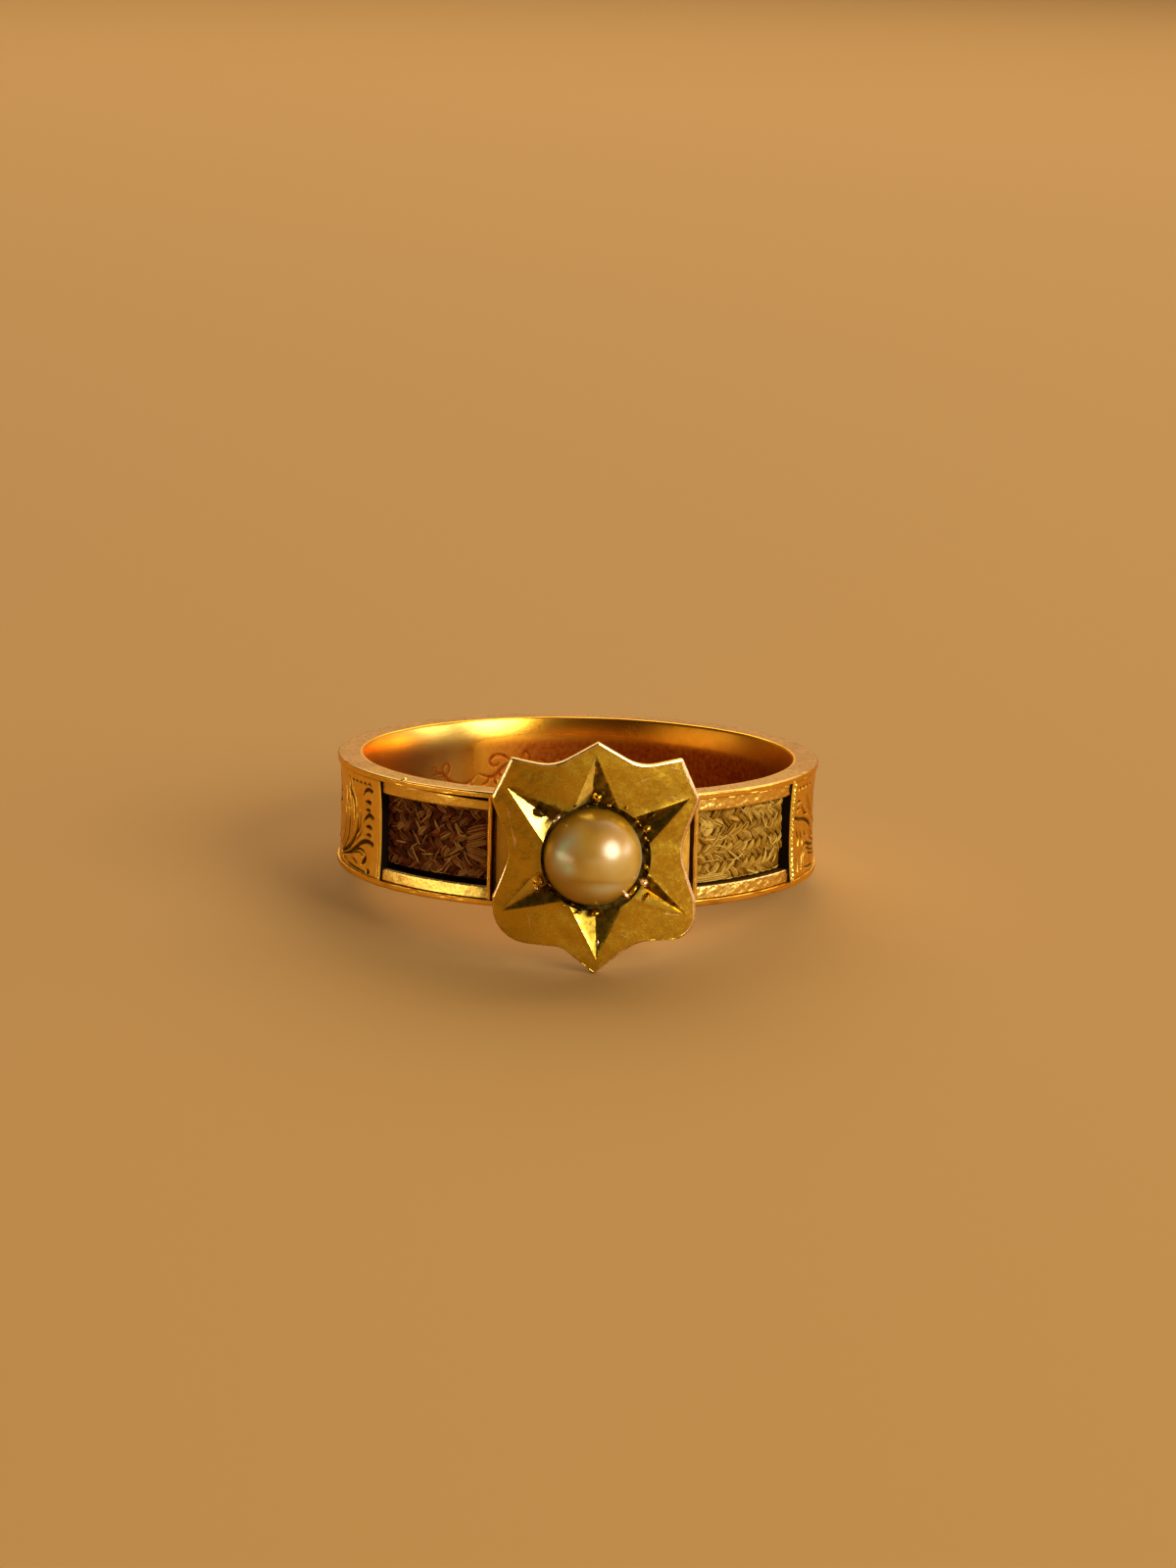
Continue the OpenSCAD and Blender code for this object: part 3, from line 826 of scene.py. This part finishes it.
def triangulated(points, edges):
    """Triangles over flat points with fixed edges, and the points as they come out."""
    result = geometry.delaunay_2d_cdt([tuple(p) for p in points], edges, [], 0, 1e-7)
    return np.array([tuple(p) for p in result[0]]), result[2]


def face_mesh(face_loop):
    """Points and triangles of the face, and the hollow's edge. Outline, hollow and rays stay sharp."""
    angles = set(np.round(np.linspace(0, 360, 97)[:-1], 3))
    rays = []
    for x, z, half, bend, _, _ in RAYS:
        length = math.hypot(x, z)
        way_out = math.degrees(math.atan2(z, x))
        wide = math.degrees(math.asin(half / SEAT_R))
        lean = math.atan(bend * half / (length - math.sqrt(SEAT_R ** 2 - half ** 2)))
        starts = [way_out + math.degrees(math.asin(length * math.sin(lean) / SEAT_R) - lean),
                  way_out - wide, way_out + wide]
        angles = {a for a in angles if min(abs((a - m + 180) % 360 - 180) for m in starts) > 1.5}
        starts = [a % 360 for a in starts]
        angles |= set(starts)
        rays.append((starts, np.array([x, z])))
    angles = sorted(angles)
    ring = np.array([[SEAT_R * math.cos(a), SEAT_R * math.sin(a)] for a in map(math.radians, angles)])
    base = len(face_loop)
    points = [face_loop, ring]
    edges = loop_edges(0, base) + loop_edges(base, len(ring))
    count = base + len(ring)
    for starts, tip in rays:
        points.append(tip[None])
        tip_index = count
        count += 1
        for angle in starts:
            start = angles.index(angle)
            line = ring[start] + (tip - ring[start]) * np.linspace(0, 1, 15)[1:-1, None]
            points.append(line)
            chain = [base + start, *range(count, count + len(line)), tip_index]
            count += len(line)
            edges += zip(chain[:-1], chain[1:])
    gx, gz = np.meshgrid(np.arange(-4, 4.01, 0.1), np.arange(-4.5, 4.51, 0.1))
    loose = np.stack([gx.ravel(), gz.ravel()], 1)
    loose += 0.02 * np.random.default_rng(5).uniform(-1, 1, loose.shape)
    loose = loose[inside(loose, inset(face_loop, 0.05)) & (np.hypot(*loose.T) > SEAT_R + 0.05)]
    fixed = np.vstack(points)
    flat, tris = triangulated(np.vstack([fixed, loose[gaps(loose, fixed).min(1) > 0.045]]), edges)
    tris = np.array(tris)
    centre = flat[tris].mean(1)
    tris = tris[inside(centre, face_loop) & (np.hypot(*centre.T) > SEAT_R * math.cos(math.radians(2)))]
    used, tris = np.unique(tris, return_inverse=True)
    return flat[used], tris.reshape(-1, 3), ring


def add_block(build, outline, under_edge):
    """Underside of the plate, and the block. Returns its first side face, and which sides are right."""
    rise = np.linspace(-BLOCK_H, BLOCK_H, 14)
    run = np.linspace(-BLOCK_W, BLOCK_W, 17)
    top = np.array([(-BLOCK_W, z) for z in rise[:-1]] + [(x, BLOCK_H) for x in run[:-1]]
                   + [(BLOCK_W, z) for z in rise[:0:-1]] + [(x, -BLOCK_H) for x in run[:0:-1]])
    right = top[:, 0] > 0
    hem = inset(outline, 0.03)
    flat = np.vstack([hem, top])
    # The block's and foot's left sides are darkened and the right ones kept bare: painted shade.
    top_ids = build.add_points(facing(top, -PLATE_T), np.where(right, 0.0, 0.5))
    lookup = np.concatenate([under_edge, top_ids])
    corners, faces = triangulated(flat, loop_edges(0, len(hem)) + loop_edges(len(hem), len(top)))
    match = gaps(corners, flat).argmin(1)
    for t in faces:
        x, z = corners[list(t)].mean(0)
        if inside(np.array([[x, z]]), hem)[0] and not (abs(x) < BLOCK_W and abs(z) < BLOCK_H):
            build.face(lookup[match[list(t)]])
    foot = top * [FOOT_W / BLOCK_W, 1]
    foot_ids = build.add_points(facing(foot, 0, FACE_R), np.where(right, 0.1, 0.6))
    first_flank = len(build.faces)
    build.bridge(top_ids, foot_ids)
    # the foot goes into the band, and its bottom follows the band's curve
    sunk = build.add_points(facing(foot, 0, FOOT_R), 0.8)
    build.bridge(foot_ids, sunk)
    sides, width = len(rise) - 1, len(run) - 1
    for i in range(width):
        upper = sunk[:sides + 2] if i == 0 else sunk[sides + i:sides + i + 2]
        lower = [sunk[-1]] if i == 0 else [sunk[-i - 1], sunk[-i]]
        if i == width - 1:
            upper, lower = sunk[sides + i:-i], [sunk[-i]]
        build.face([*upper, *lower][::-1])
    return first_flank, right


def add_scratches(build):
    for x0, z0, x1, z1, width in SCRATCHES:
        run = np.stack([np.linspace(x0, x1, 9), np.linspace(z0, z1, 9)], 1)
        run += 0.02 * waves(run, 0.8, 46)[:, None]
        across = np.array([z1 - z0, x0 - x1]) / math.hypot(x1 - x0, z1 - z0)
        half = across * width / 2 * np.sin(np.linspace(0.2, math.pi - 0.2, 9))[:, None]
        a, b = [build.add_points(facing(line, 0.012)) for line in (run - half, run + half)]
        build.bridge(b, a, closed=False)


# Places of the golds in the plaque's list
FACE, CUT, BRIGHT, EDGE, FLANK, BAND = range(6)


def make_plaque():
    # clockwise as seen from the front
    outline = resample(rounded([(x * HALF_W, z * TIP_Z, r * HALF_W) for x, z, r in PLAQUE_ROWS]), 0.09)
    x, z = outline.T
    chamfer = np.exp(-((x + 3.75) / 0.4) ** 2 - ((z - 2.7) / 1.2) ** 2)
    uneven = 0.5 + 0.5 * waves(outline, 2.2, 41)
    bevel = 0.04 + 0.02 * uneven + 0.03 * fade(z, 2.6, 0.6) + 0.07 * chamfer + 0.08 * bell(x, 3.8, 0.5)
    face_loop = inset(outline, bevel)
    flat, tris, ring = face_mesh(face_loop)
    x, z = flat.T
    depth, tarnish_and_painted_light = ray_depth(flat)
    cut = depth > 1e-4
    to_ray = ray_edge(flat)
    dents = 0.01 * waves(flat, 1.6, 42) + 0.004 * waves(flat, 0.5, 43) + 0.008 * bell(to_ray, 0, 0.035)
    # Darker in the cuts towards the pearl's seat.
    darkening = np.clip(1.15 - (np.hypot(x, z) - SEAT_R) / 0.32, 0, 1) * np.clip(depth / 0.12, 0.25, 1) * 0.9
    wear_and_painted_light = np.clip(np.maximum(darkening, cut * tarnish_and_painted_light * (0.95 + 0.3 * waves(flat, 0.5, 44))), 0, 1)
    # A painted highlight along the ray edges at the lower left.
    painted_glint = bell(to_ray, 0, 0.09) * (cut & (x < 0) & (z < -2.1))
    wear_and_painted_light = wear_and_painted_light * (1 - painted_glint) - painted_glint
    pits = np.clip(0.3 + waves(flat, 0.16, 45, 2), 0, 1) * bell(x, 3.0, 0.9) * bell(z, 2.9, 1.0) * 0.55
    wear_and_painted_light = np.where(cut, wear_and_painted_light, np.maximum(wear_and_painted_light, pits))
    build = Build()
    face = build.add_points(facing(flat, np.where(cut, -depth, dents)), wear_and_painted_light)
    build.faces.extend(face[tris[:, [0, 2, 1]]].tolist())
    deep, finish_and_painted_light = ray_depth(flat[tris].mean(1))
    # Sides below 0 are laid in paler golds: painted highlights.
    cut_faces = np.select([deep <= 1e-4, finish_and_painted_light >= 0, finish_and_painted_light >= -0.17], [FACE, CUT, BRIGHT], FLANK)
    turns = np.radians(np.linspace(0, 90, 8)[1:])
    drops = [(bevel * (1 - math.sin(t)), -0.8 * bevel * (1 - math.cos(t)), 0.0) for t in turns]
    last = face[gaps(face_loop, flat).argmin(1)]
    first_bevel = len(build.faces)
    for by, height, dimmed in drops + [(0.0, -0.29, 0.25), (0.03, -PLATE_T, 0.25)]:
        ids = build.add_points(facing(inset(outline, by), height), dimmed)
        build.bridge(last, ids)
        last = ids
    first_flank, right = add_block(build, outline, last)
    first_scratch = len(build.faces)
    add_scratches(build)
    first_wall = len(build.faces)
    floor = build.add_points(np.insert(ring, 1, SEAT_DEPTH - PLAQUE_R, 1), 0.95)
    build.bridge(floor, face[gaps(ring, flat).argmin(1)])
    build.face(floor)
    ahead = directions(np.roll(outline, -1, 0) - outline)
    lit = (ahead[:, 0] > 0.3) | (ahead[:, 1] < -0.6)
    indices = np.zeros(len(build.faces), int)
    indices[:len(cut_faces)] = cut_faces
    bevel_faces = np.tile(np.where(lit, EDGE, FACE), len(turns))
    indices[first_bevel:first_bevel + len(bevel_faces)] = bevel_faces
    # Right flanks in a paler gold, left ones in the band's gold: painted light and painted shade.
    indices[first_flank:first_flank + len(right)] = np.where(right, FLANK, BAND)
    indices[first_scratch:first_wall] = EDGE
    indices[first_wall:] = FLANK
    golds = [PLAQUE_GOLD, CUT_GOLD, BRIGHT_GOLD, EDGE_GOLD, FLANK_GOLD, BAND_GOLD]
    build.done("plaque", golds, sharp=13, indices=indices)


make_plaque()


def make_cheeks():
    """Sunk floor between the two bars."""
    build = Build()
    z = np.linspace(-1, 1, 12) * (PANEL_H - 0.003)
    angle = np.linspace(-BAR_AT, BAR_AT, 40)[:, None] + 0 * z
    v = np.broadcast_to(z, angle.shape)
    # Its face is darkened and its walls more so: painted shade.
    slab(build, around(angle, HAIR_R, v), around(angle, SLEEVE_R, v), 0.85, 0.9)
    build.done("cheek_floor", [BAND_GOLD])


make_cheeks()


# Grains and pearl
def blob(centre, size, seed, squash=(1, 1, 1), rings=10, spokes=14):
    theta = np.linspace(0, math.pi, rings)[:, None]
    phi = np.linspace(0, 2 * math.pi, spokes, endpoint=False)[None, :]
    unit = np.stack([np.sin(theta) * np.cos(phi), np.sin(theta) * np.sin(phi),
                     np.cos(theta) * np.ones_like(phi)], -1)
    lump = 1 + 0.12 * waves(unit * 2 + seed, 2.0, seed)
    return np.asarray(centre) + unit * lump[..., None] * size * np.asarray(squash)


def add_blob(build, points, wear_and_painted_light=0.0):
    spokes = points.shape[1]
    body = build.grid(points[1:-1], wear_and_painted_light, wrap_v=True)
    poles = build.add_points([points[0, 0], points[-1, 0]])
    for j in range(spokes):
        k = (j + 1) % spokes
        build.face([poles[0], body[0, j], body[0, k]])
        build.face([poles[1], body[-1, k], body[-1, j]])


GRAINS = [
    # x, z from the pearl's middle, size along and across its edge, height over the face, and
    # finish: 0 cut gold, 1 pale gold as a painted glint, 2 orange gold as a painted glow, 3 tarnished
    (0.11, 2.36, 0.2, 0.2, -0.02, 0), (-1.44, 1.54, 0.24, 0.11, 0.1, 1),
    (2.0, 1.15, 0.15, 0.2, 0.1, 0), (1.93, -0.93, 0.18, 0.18, 0.12, 1),
    (2.1, -1.45, 0.08, 0.08, 0.0, 0), (1.22, -1.32, 0.12, 0.2, 0.36, 1),
    (1.5, -1.25, 0.3, 0.09, 0.1, 0), (0.11, -2.12, 0.2, 0.15, -0.08, 0),
    (-1.96, -0.92, 0.16, 0.11, 0.02, 0), (1.2, 1.96, 0.08, 0.08, 0.04, 0),
    (0.55, 2.08, 0.13, 0.1, 0.0, 0), (-0.5, -2.05, 0.1, 0.08, 0.0, 0), (0.2, -3.3, 0.2, 0.2, -0.3, 1),
    (-2.12, -1.2, 0.13, 0.11, -0.1, 1), (-2.36, -0.36, 0.07, 0.07, -0.14, 1),
    (2.02, 0.3, 0.14, 0.1, -0.2, 3), (2.03, -0.35, 0.16, 0.12, -0.16, 0),
    (-2.05, 0.55, 0.2, 0.1, -0.2, 3), (-1.1, -1.82, 0.14, 0.1, -0.1, 0),
    (1.62, 1.42, 0.12, 0.1, -0.12, 0), (-0.75, 2.02, 0.14, 0.09, -0.12, 3),
    (0.62, 2.5, 0.2, 0.13, -0.24, 2), (-2.02, 1.72, 0.1, 0.24, -0.02, 3),
    (2.2, 1.6, 0.1, 0.22, -0.1, 3),
]
CRUMBS = 22


def loose_grains():
    """Small crumbs of metal along the edge of the seat."""
    rng = np.random.default_rng(71)
    rows = []
    for _ in range(CRUMBS):
        angle = rng.uniform(0, 2 * math.pi)
        out = SEAT_R + rng.uniform(-0.1, 0.06)
        rows.append((out * math.cos(angle) + PEARL_OFF, out * math.sin(angle), rng.uniform(0.07, 0.17),
                     rng.uniform(0.05, 0.09), rng.uniform(-0.26, -0.18), 3 if rng.random() < 0.5 else 0))
    return rows


def make_grains():
    build = Build()
    indices = []
    for k, (x, z, along, across, height, finish_and_painted_light) in enumerate(GRAINS + loose_grains()):
        angle = math.atan2(z, x)
        tangent = np.array([-math.sin(angle), 0, math.cos(angle)])
        outward = np.array([math.cos(angle), 0, math.sin(angle)])
        unit = blob((0, 0, 0), 1, 50 + k)
        x -= PEARL_OFF
        centre = np.array([x, -(math.sqrt(PLAQUE_R ** 2 - x ** 2) + height - 0.12), z])
        body = unit[..., :1] * along * tangent + unit[..., 2:] * across * outward
        body = body + unit[..., 1:2] * np.array([0, 0.24 + 0.5 * min(along, across), 0])
        # Each grain darkens towards the plaque it sits on: painted shade. Tarnished ones are dark all
        # over.
        base_shade = 0.9 * np.clip(body[..., 1] / 0.3, 0, 1)
        if finish_and_painted_light == 3:
            base_shade = np.full(base_shade.shape, 0.95)
        first = len(build.faces)
        add_blob(build, centre + body, base_shade[1:-1])
        indices += [finish_and_painted_light % 3] * (len(build.faces) - first)
    build.done("grains", [CUT_GOLD, EDGE_GOLD, BAND_GOLD], sharp=0, indices=indices)


make_grains()
make_ridge_ends()


def pearl_material():
    material, tree, shader = new_material("pearl_lustre", {
        "Roughness": 0.4, "Metallic": 0.15, "Subsurface Weight": 0.15,
        "Subsurface Radius": (0.0006, 0.0004, 0.0002), "Specular Tint": (1, 0.7, 0.35, 1),
        "Coat Weight": 0.8, "Coat Roughness": 0.27, "Coat IOR": 2.1})
    place, tone = read_mesh(tree)
    sway = scaled(tree, noise(tree, place, 900, 3, distortion=0.6), 0.25)
    colour = ramp(tree, combined(tree, "ADD", tone, sway), [
        (0.08, (0.26, 0.12, 0.001)), (0.3, (0.44, 0.22, 0.005)), (0.5, (0.5, 0.31, 0.06)),
        (0.7, (0.5, 0.4, 0.18)), (0.95, (0.52, 0.6, 0.28))])
    tree.links.new(colour, shader.inputs["Base Color"])
    return material


def make_pearl():
    theta = np.linspace(0, math.pi / 2, 48)[:, None]
    phi = np.linspace(0, 2 * math.pi, 96, endpoint=False)[None, :]
    unit = np.stack([np.sin(theta) * np.cos(phi), -np.cos(theta) * np.ones_like(phi),
                     np.sin(theta) * np.sin(phi)], -1)
    across, up = unit[..., 0], unit[..., 2]
    out = np.hypot(across, up)
    fold = up + 0.33 + 0.14 * np.clip(across, 0, 1) ** 1.5
    ledge = 0.01 * np.tanh(fold / 0.03)
    lump = 1 + 0.006 * waves(unit, 1.6, 61, 2) + ledge * np.clip(1.5 - 1.6 * np.abs(across), 0, 1)
    # golden brown above, greyer along the left edge and below the ledge, a pale green spot on the left
    tone = 0.22 - 0.2 * np.clip((up - 0.4) / 0.4, 0, 1) + 0.08 * waves(unit, 1.1, 62, 2)
    rim_left = np.clip(-1.5 * across, 0, 1) * np.clip(1.2 - abs(up - 0.25) * 1.8, 0, 1)
    tone += 0.55 * bell(out, 0.72, 0.13) * rim_left
    tone += 0.6 * bell(across, -0.53, 0.12) * bell(up, -0.09, 0.14)
    # Lighter right of the middle, round the highlight: painted highlight.
    tone += 0.16 * bell(across, 0.4, 0.35) * bell(up, 0.05, 0.4)
    tone += 0.3 * bell(across, 0.1, 0.45) * bell(up, -0.5, 0.12)
    # A pale line along the right edge: painted highlight.
    tone += 0.4 * bell(out, 0.97, 0.03) * np.clip(across * 2 - 1, 0, 1)
    tone = np.clip(tone, 0, 0.8)
    seat_y = -(PLAQUE_R - SEAT_DEPTH + 0.05)
    points = unit * lump[..., None] * PEARL_R + [-PEARL_OFF, seat_y, 0]
    build = Build()
    pole = build.add_points([points[0, 0]], tone[0, 0])
    body = build.grid(points[1:], tone[1:], wrap_v=True, flip=True)
    m = body.shape[1]
    for j in range(m):
        build.face([pole[0], body[0, j], body[0, (j + 1) % m]])
    build.face(body[-1][::-1])
    build.done("pearl", [pearl_material()], "half_pearl", sharp=50)


make_pearl()


# Hair: a flat plait of small bundles, each of a few hairs that rise over and dive under
def hair_material(name, low, middle, high):
    material, tree, shader = new_material(name, {
        "Roughness": 0.45, "Specular IOR Level": 0.35, "Specular Tint": (1, 0.6, 0.2, 1)})
    place, tone = read_mesh(tree)
    streak = scaled(tree, noise(tree, place, 7000, 3), 0.3)
    colour = ramp(tree, combined(tree, "ADD", tone, streak), [(0.1, low), (0.55, middle), (1.0, high)])
    tree.links.new(colour, shader.inputs["Base Color"])
    return material


# Rows of bundles, their distance along a row, hairs in a bundle, loose tufts, and the points along
# a hair and its radius
ROWS = 8
BUNDLE_STEP = 0.4
HAIRS = 10
TUFTS = 45
TURNS = 8
STRAND_R = 0.02


def lock(rng, s, z, turn, length, half_width, hairs, shade, lift, bow=0.1):
    """Hairs side by side: each a line of s, z and height over the plait, and its tone."""
    t = np.linspace(-1, 1, TURNS)
    lines, tones = [], []
    for hair in range(hairs):
        o = (hair + 0.5) / hairs * 2 - 1
        along = t * length / 2 * rng.uniform(0.88, 1.1)
        across = o * half_width * (1 - 0.4 * t ** 2) + rng.normal(0, 0.02) * (1 - t ** 2)
        line_s = s + along * math.cos(turn) - across * math.sin(turn)
        line_z = z + along * math.sin(turn) + across * math.cos(turn)
        height = lift - bow * t ** 2 - 0.035 * o ** 2 + rng.normal(0, 0.006)
        lines.append(np.stack([line_s, line_z, height], -1))
        tones.append(np.clip(shade + rng.normal(0, 0.14), 0, 1))
    return lines, tones


def ring_of_hair(rng, s, z, radius, shade):
    """Curled end of a lock, as short arcs."""
    lines, tones = [], []
    for r in np.arange(0.05, radius, 0.035):
        for start in np.arange(0, 2 * math.pi, 1.2):
            a = start + rng.uniform(0, 0.6) + np.linspace(0, 1.25, TURNS)
            height = 0.03 - 0.25 * (r / radius) ** 2 * radius + rng.normal(0, 0.005)
            lines.append(np.stack([s + r * np.cos(a), z + r * np.sin(a), np.full(TURNS, height)], -1))
            tones.append(np.clip(shade + rng.normal(0, 0.12), 0, 1))
    return lines, tones


def plait(rng, side, low_s, high_s, low_z, high_z):
    lines, tones = [], []

    def lay_down(pair):
        lines.extend(pair[0])
        tones.extend(pair[1])

    row_h = (high_z - low_z) / ROWS
    for row in range(-1, ROWS + 1):
        z0 = low_z + row_h * (row + 0.5)
        lean = 1 if row % 2 else -1
        for col in range(-1, int((high_s - low_s) / BUNDLE_STEP) + 2):
            s = low_s + BUNDLE_STEP * (col + 0.5 * (row % 2)) + rng.normal(0, 0.04)
            z = z0 + rng.normal(0, 0.03) + 0.03 * math.sin(s * 2.1 + row)
            if side > 0 and s > high_s - 0.45 and z < -0.75:
                continue
            turn = math.radians(lean * rng.normal(40, 11))
            lay_down(lock(rng, s, z, turn, rng.normal(0.64, 0.07), rng.normal(0.125, 0.015), HAIRS,
                          rng.uniform(0.16, 0.62), -0.035 + rng.normal(0, 0.014)))
    for _ in range(TUFTS):
        s, z, turn = rng.uniform(low_s, high_s - 0.3), rng.uniform(low_z, high_z), rng.uniform(-1.2, 1.2)
        lay_down(lock(rng, s, z, turn, rng.uniform(0.4, 0.8), 0.02, 2, rng.uniform(0.5, 1), 0.0, 0.05))
    if side < 0:
        for z, turn in ((0.62, -0.3), (0.36, -0.35), (0.1, -0.25), (-0.2, 0.2), (-0.45, 0.3)):
            lay_down(lock(rng, low_s + 0.5, z, turn, 0.95, 0.14, 13, 0.6, 0.02, 0.03))
    else:
        lay_down(ring_of_hair(rng, low_s + 0.55, 0.72, 0.33, 0.95))
        for z in (-1.33, -1.24, -1.15):
            lay_down(lock(rng, low_s + 0.75, z, 0.03, 1.6, 0.05, 4, 0.6, 0.0, 0.04))
    return np.array(lines), np.array(tones)


def make_hair(side, name, slot, seed, *colours):
    rng = np.random.default_rng(seed)
    low_s = math.radians(WINDOW_START) * HAIR_R + 0.06
    high_s = (math.radians(WINDOW_MID) + math.asin((FAR_X - WINDOW_BOW - 0.05) / HAIR_R)) * HAIR_R
    reach = WINDOW_H / 2 - 0.05
    low_z = -reach + (0.14 if side < 0 else 0.03)
    lines, tones = plait(rng, side, low_s, high_s, low_z, reach)
    limit = high_s - np.abs(rng.normal(0, 0.03, (len(lines), 1)))
    lines[..., 0] = np.clip(lines[..., 0], low_s, limit)
    lines[..., 1] = np.clip(lines[..., 1], low_z + 0.02, reach - 0.03)
    tangent = np.gradient(lines, axis=1)
    tangent[..., 2] = 0
    tangent /= np.linalg.norm(tangent, axis=-1)[..., None] + 1e-9
    beside = np.stack([-tangent[..., 1], tangent[..., 0], 0 * tangent[..., 0]], -1)
    phi = np.linspace(0, 2 * math.pi, 4, endpoint=False)
    radius = STRAND_R * (1 - 0.25 * np.linspace(-1, 1, TURNS) ** 4)
    tube = (lines[:, :, None, :] + radius[None, :, None, None] * (
        np.cos(phi)[None, None, :, None] * beside[:, :, None, :]
        + np.sin(phi)[None, None, :, None] * np.array([0, 0, 1.0])))
    n, k, m = tube.shape[:3]
    world = sided(around(np.degrees(tube[..., 0] / HAIR_R), HAIR_R + tube[..., 2], tube[..., 1]), side)
    build = Build()
    ids = build.add_points(world.reshape(-1, 3), np.repeat(tones, k * m)).reshape(n, k, m)
    a, b = ids[:, :-1], ids[:, 1:]
    quads = np.stack([a, np.roll(a, -1, 2), np.roll(b, -1, 2), b], -1)
    ends = np.concatenate([ids[:, 0, ::-1], ids[:, -1]])
    if side < 0:
        quads, ends = quads[..., ::-1], ends[:, ::-1]
    build.faces.extend(quads.reshape(-1, 4).tolist())
    build.faces.extend(ends.tolist())
    z = np.linspace(low_z, reach, 20)
    angle = np.degrees(np.linspace(low_s, high_s - 0.02, 40)[:, None] / HAIR_R) + 0 * z
    v = np.broadcast_to(z, angle.shape)
    # A backing under the strands in the hair's darkest tone, which shows as painted shade in the gaps.
    slab(build, *layers(side, angle, HAIR_R - 0.13, v, side < 0, SLEEVE_R + 0.05), 0.0, 0.0)
    build.done(name, [hair_material(slot, *colours)], name, sharp=0)


# The right hair's colours are paler and the left's darker, partly because the right window faces the
# light and the left one faces away: painted light and painted shade.
make_hair(1, "hair_right", "hair_light", 81,
          (0.14, 0.05, 0.001), (0.38, 0.19, 0.012), (0.66, 0.44, 0.09))
make_hair(-1, "hair_left", "hair_dark", 82,
          (0.012, 0.0003, 0.0005), (0.19, 0.03, 0.008), (0.56, 0.32, 0.08))


# Camera: as calibrated on the two edges of the band. Focal length in pixels, distance and shifts in mm
FOCAL_PX = 3424.1
DISTANCE = 137.25
ELEVATION = math.radians(10.4766)
ROLL = math.radians(-1.1381)
SPIN = math.radians(4.3)
SHIFT_X = -0.4417
SHIFT_Y = -0.8954


def make_camera():
    ce, se = math.cos(ELEVATION), math.sin(ELEVATION)
    cr, sr = math.cos(ROLL), math.sin(ROLL)
    right = np.array([1.0, 0, 0])
    up = np.array([0, se, ce])
    back = np.array([0, -ce, se])
    cam_x = cr * right - sr * up
    cam_y = sr * right + cr * up
    centre = -SHIFT_X * cam_x - SHIFT_Y * cam_y + DISTANCE * back
    turn = np.array([
        [math.cos(SPIN), math.sin(SPIN), 0],
        [-math.sin(SPIN), math.cos(SPIN), 0],
        [0, 0, 1],
    ])
    axes = LYING @ turn @ np.stack([cam_x, cam_y, back], 1)
    place = lay(turn @ centre)
    data = bpy.data.cameras.new("camera")
    data.sensor_width = 36
    data.lens = FOCAL_PX * 36 / 1600
    data.clip_start = 0.001
    data.clip_end = 20
    camera = bpy.data.objects.new("camera", data)
    camera.matrix_world = Matrix([[*axes[i], place[i]] for i in range(3)] + [[0, 0, 0, 1]])
    bpy.context.scene.collection.objects.link(camera)
    bpy.context.scene.camera = camera


make_camera()


# Floor and light
def make_floor():
    mesh = bpy.data.meshes.new("floor")
    mesh.from_pydata([(-3, -3, 0), (3, -3, 0), (3, 6, 0), (-3, 6, 0)], [], [(0, 1, 2, 3)])
    mesh.materials.append(plain("floor_pale", (0.36, 0.2, 0.058), 0.9, 0.1))
    floor = bpy.data.objects.new("floor", mesh)
    bpy.context.scene.collection.objects.link(floor)


# All the lights face this point, in metres
LIT_POINT = Vector((0, 0, 0.003))


def softbox(name, azimuth, elevation, distance, size, power, colour):
    """Area light placed by its direction from the ring, and turned to it."""
    a, e = math.radians(azimuth), math.radians(elevation)
    place = Vector((math.sin(a) * math.cos(e), -math.cos(a) * math.cos(e), math.sin(e))) * distance
    data = bpy.data.lights.new(name, "AREA")
    data.shape = "ELLIPSE"
    data.size, data.size_y = size
    data.energy = power
    data.color = colour
    light = bpy.data.objects.new(name, data)
    light.location = place
    light.rotation_euler = (place - LIT_POINT).to_track_quat("Z", "Y").to_euler()
    bpy.context.scene.collection.objects.link(light)


make_floor()
LIGHTS = [
    # name, azimuth and elevation in degrees, distance and size in metres, watts, colour
    ("key", 46, 27, 0.45, (0.3, 0.28), 2.0, (1, 0.95, 0.86)),
    ("side", 88, 13, 0.5, (0.28, 0.14), 0.28, (1, 0.94, 0.85)),
    ("left", -76, 5, 0.5, (0.5, 0.09), 0.36, (1, 0.86, 0.55)),
    ("overhead", 170, 45, 0.6, (1.1, 0.55), 4.3, (1, 0.93, 0.84)),
    ("front", 8, 6, 0.5, (0.55, 0.055), 0.1, (1, 0.85, 0.6)),
]
for light in LIGHTS:
    softbox(*light)

world = bpy.data.worlds.new("studio")
bpy.context.scene.world = world
world.use_nodes = True
world_tree = world.node_tree
background = world_tree.nodes["Background"]
ray = add(world_tree, "TexCoord").outputs["Generated"]
# dark to the left in front, and bright to the right and behind
toward = add(world_tree, "VectorMath", {1: (0.5, 0.7, 0.2)}, {0: ray}, operation="DOT_PRODUCT")
glow = add(world_tree, "MapRange", {"From Min": -0.7, "From Max": 0.7},
           {"Value": toward.outputs["Value"]})
tint = ramp(world_tree, glow.outputs[0], [(0.05, (0.04, 0.02, 0.01)), (0.45, (0.16, 0.1, 0.06)),
                                          (0.75, (0.45, 0.33, 0.22)), (1.0, (0.9, 0.68, 0.46))])
world_tree.links.new(tint, background.inputs[0])
background.inputs[1].default_value = 1.0
bpy.context.scene.view_settings.view_transform = "Standard"
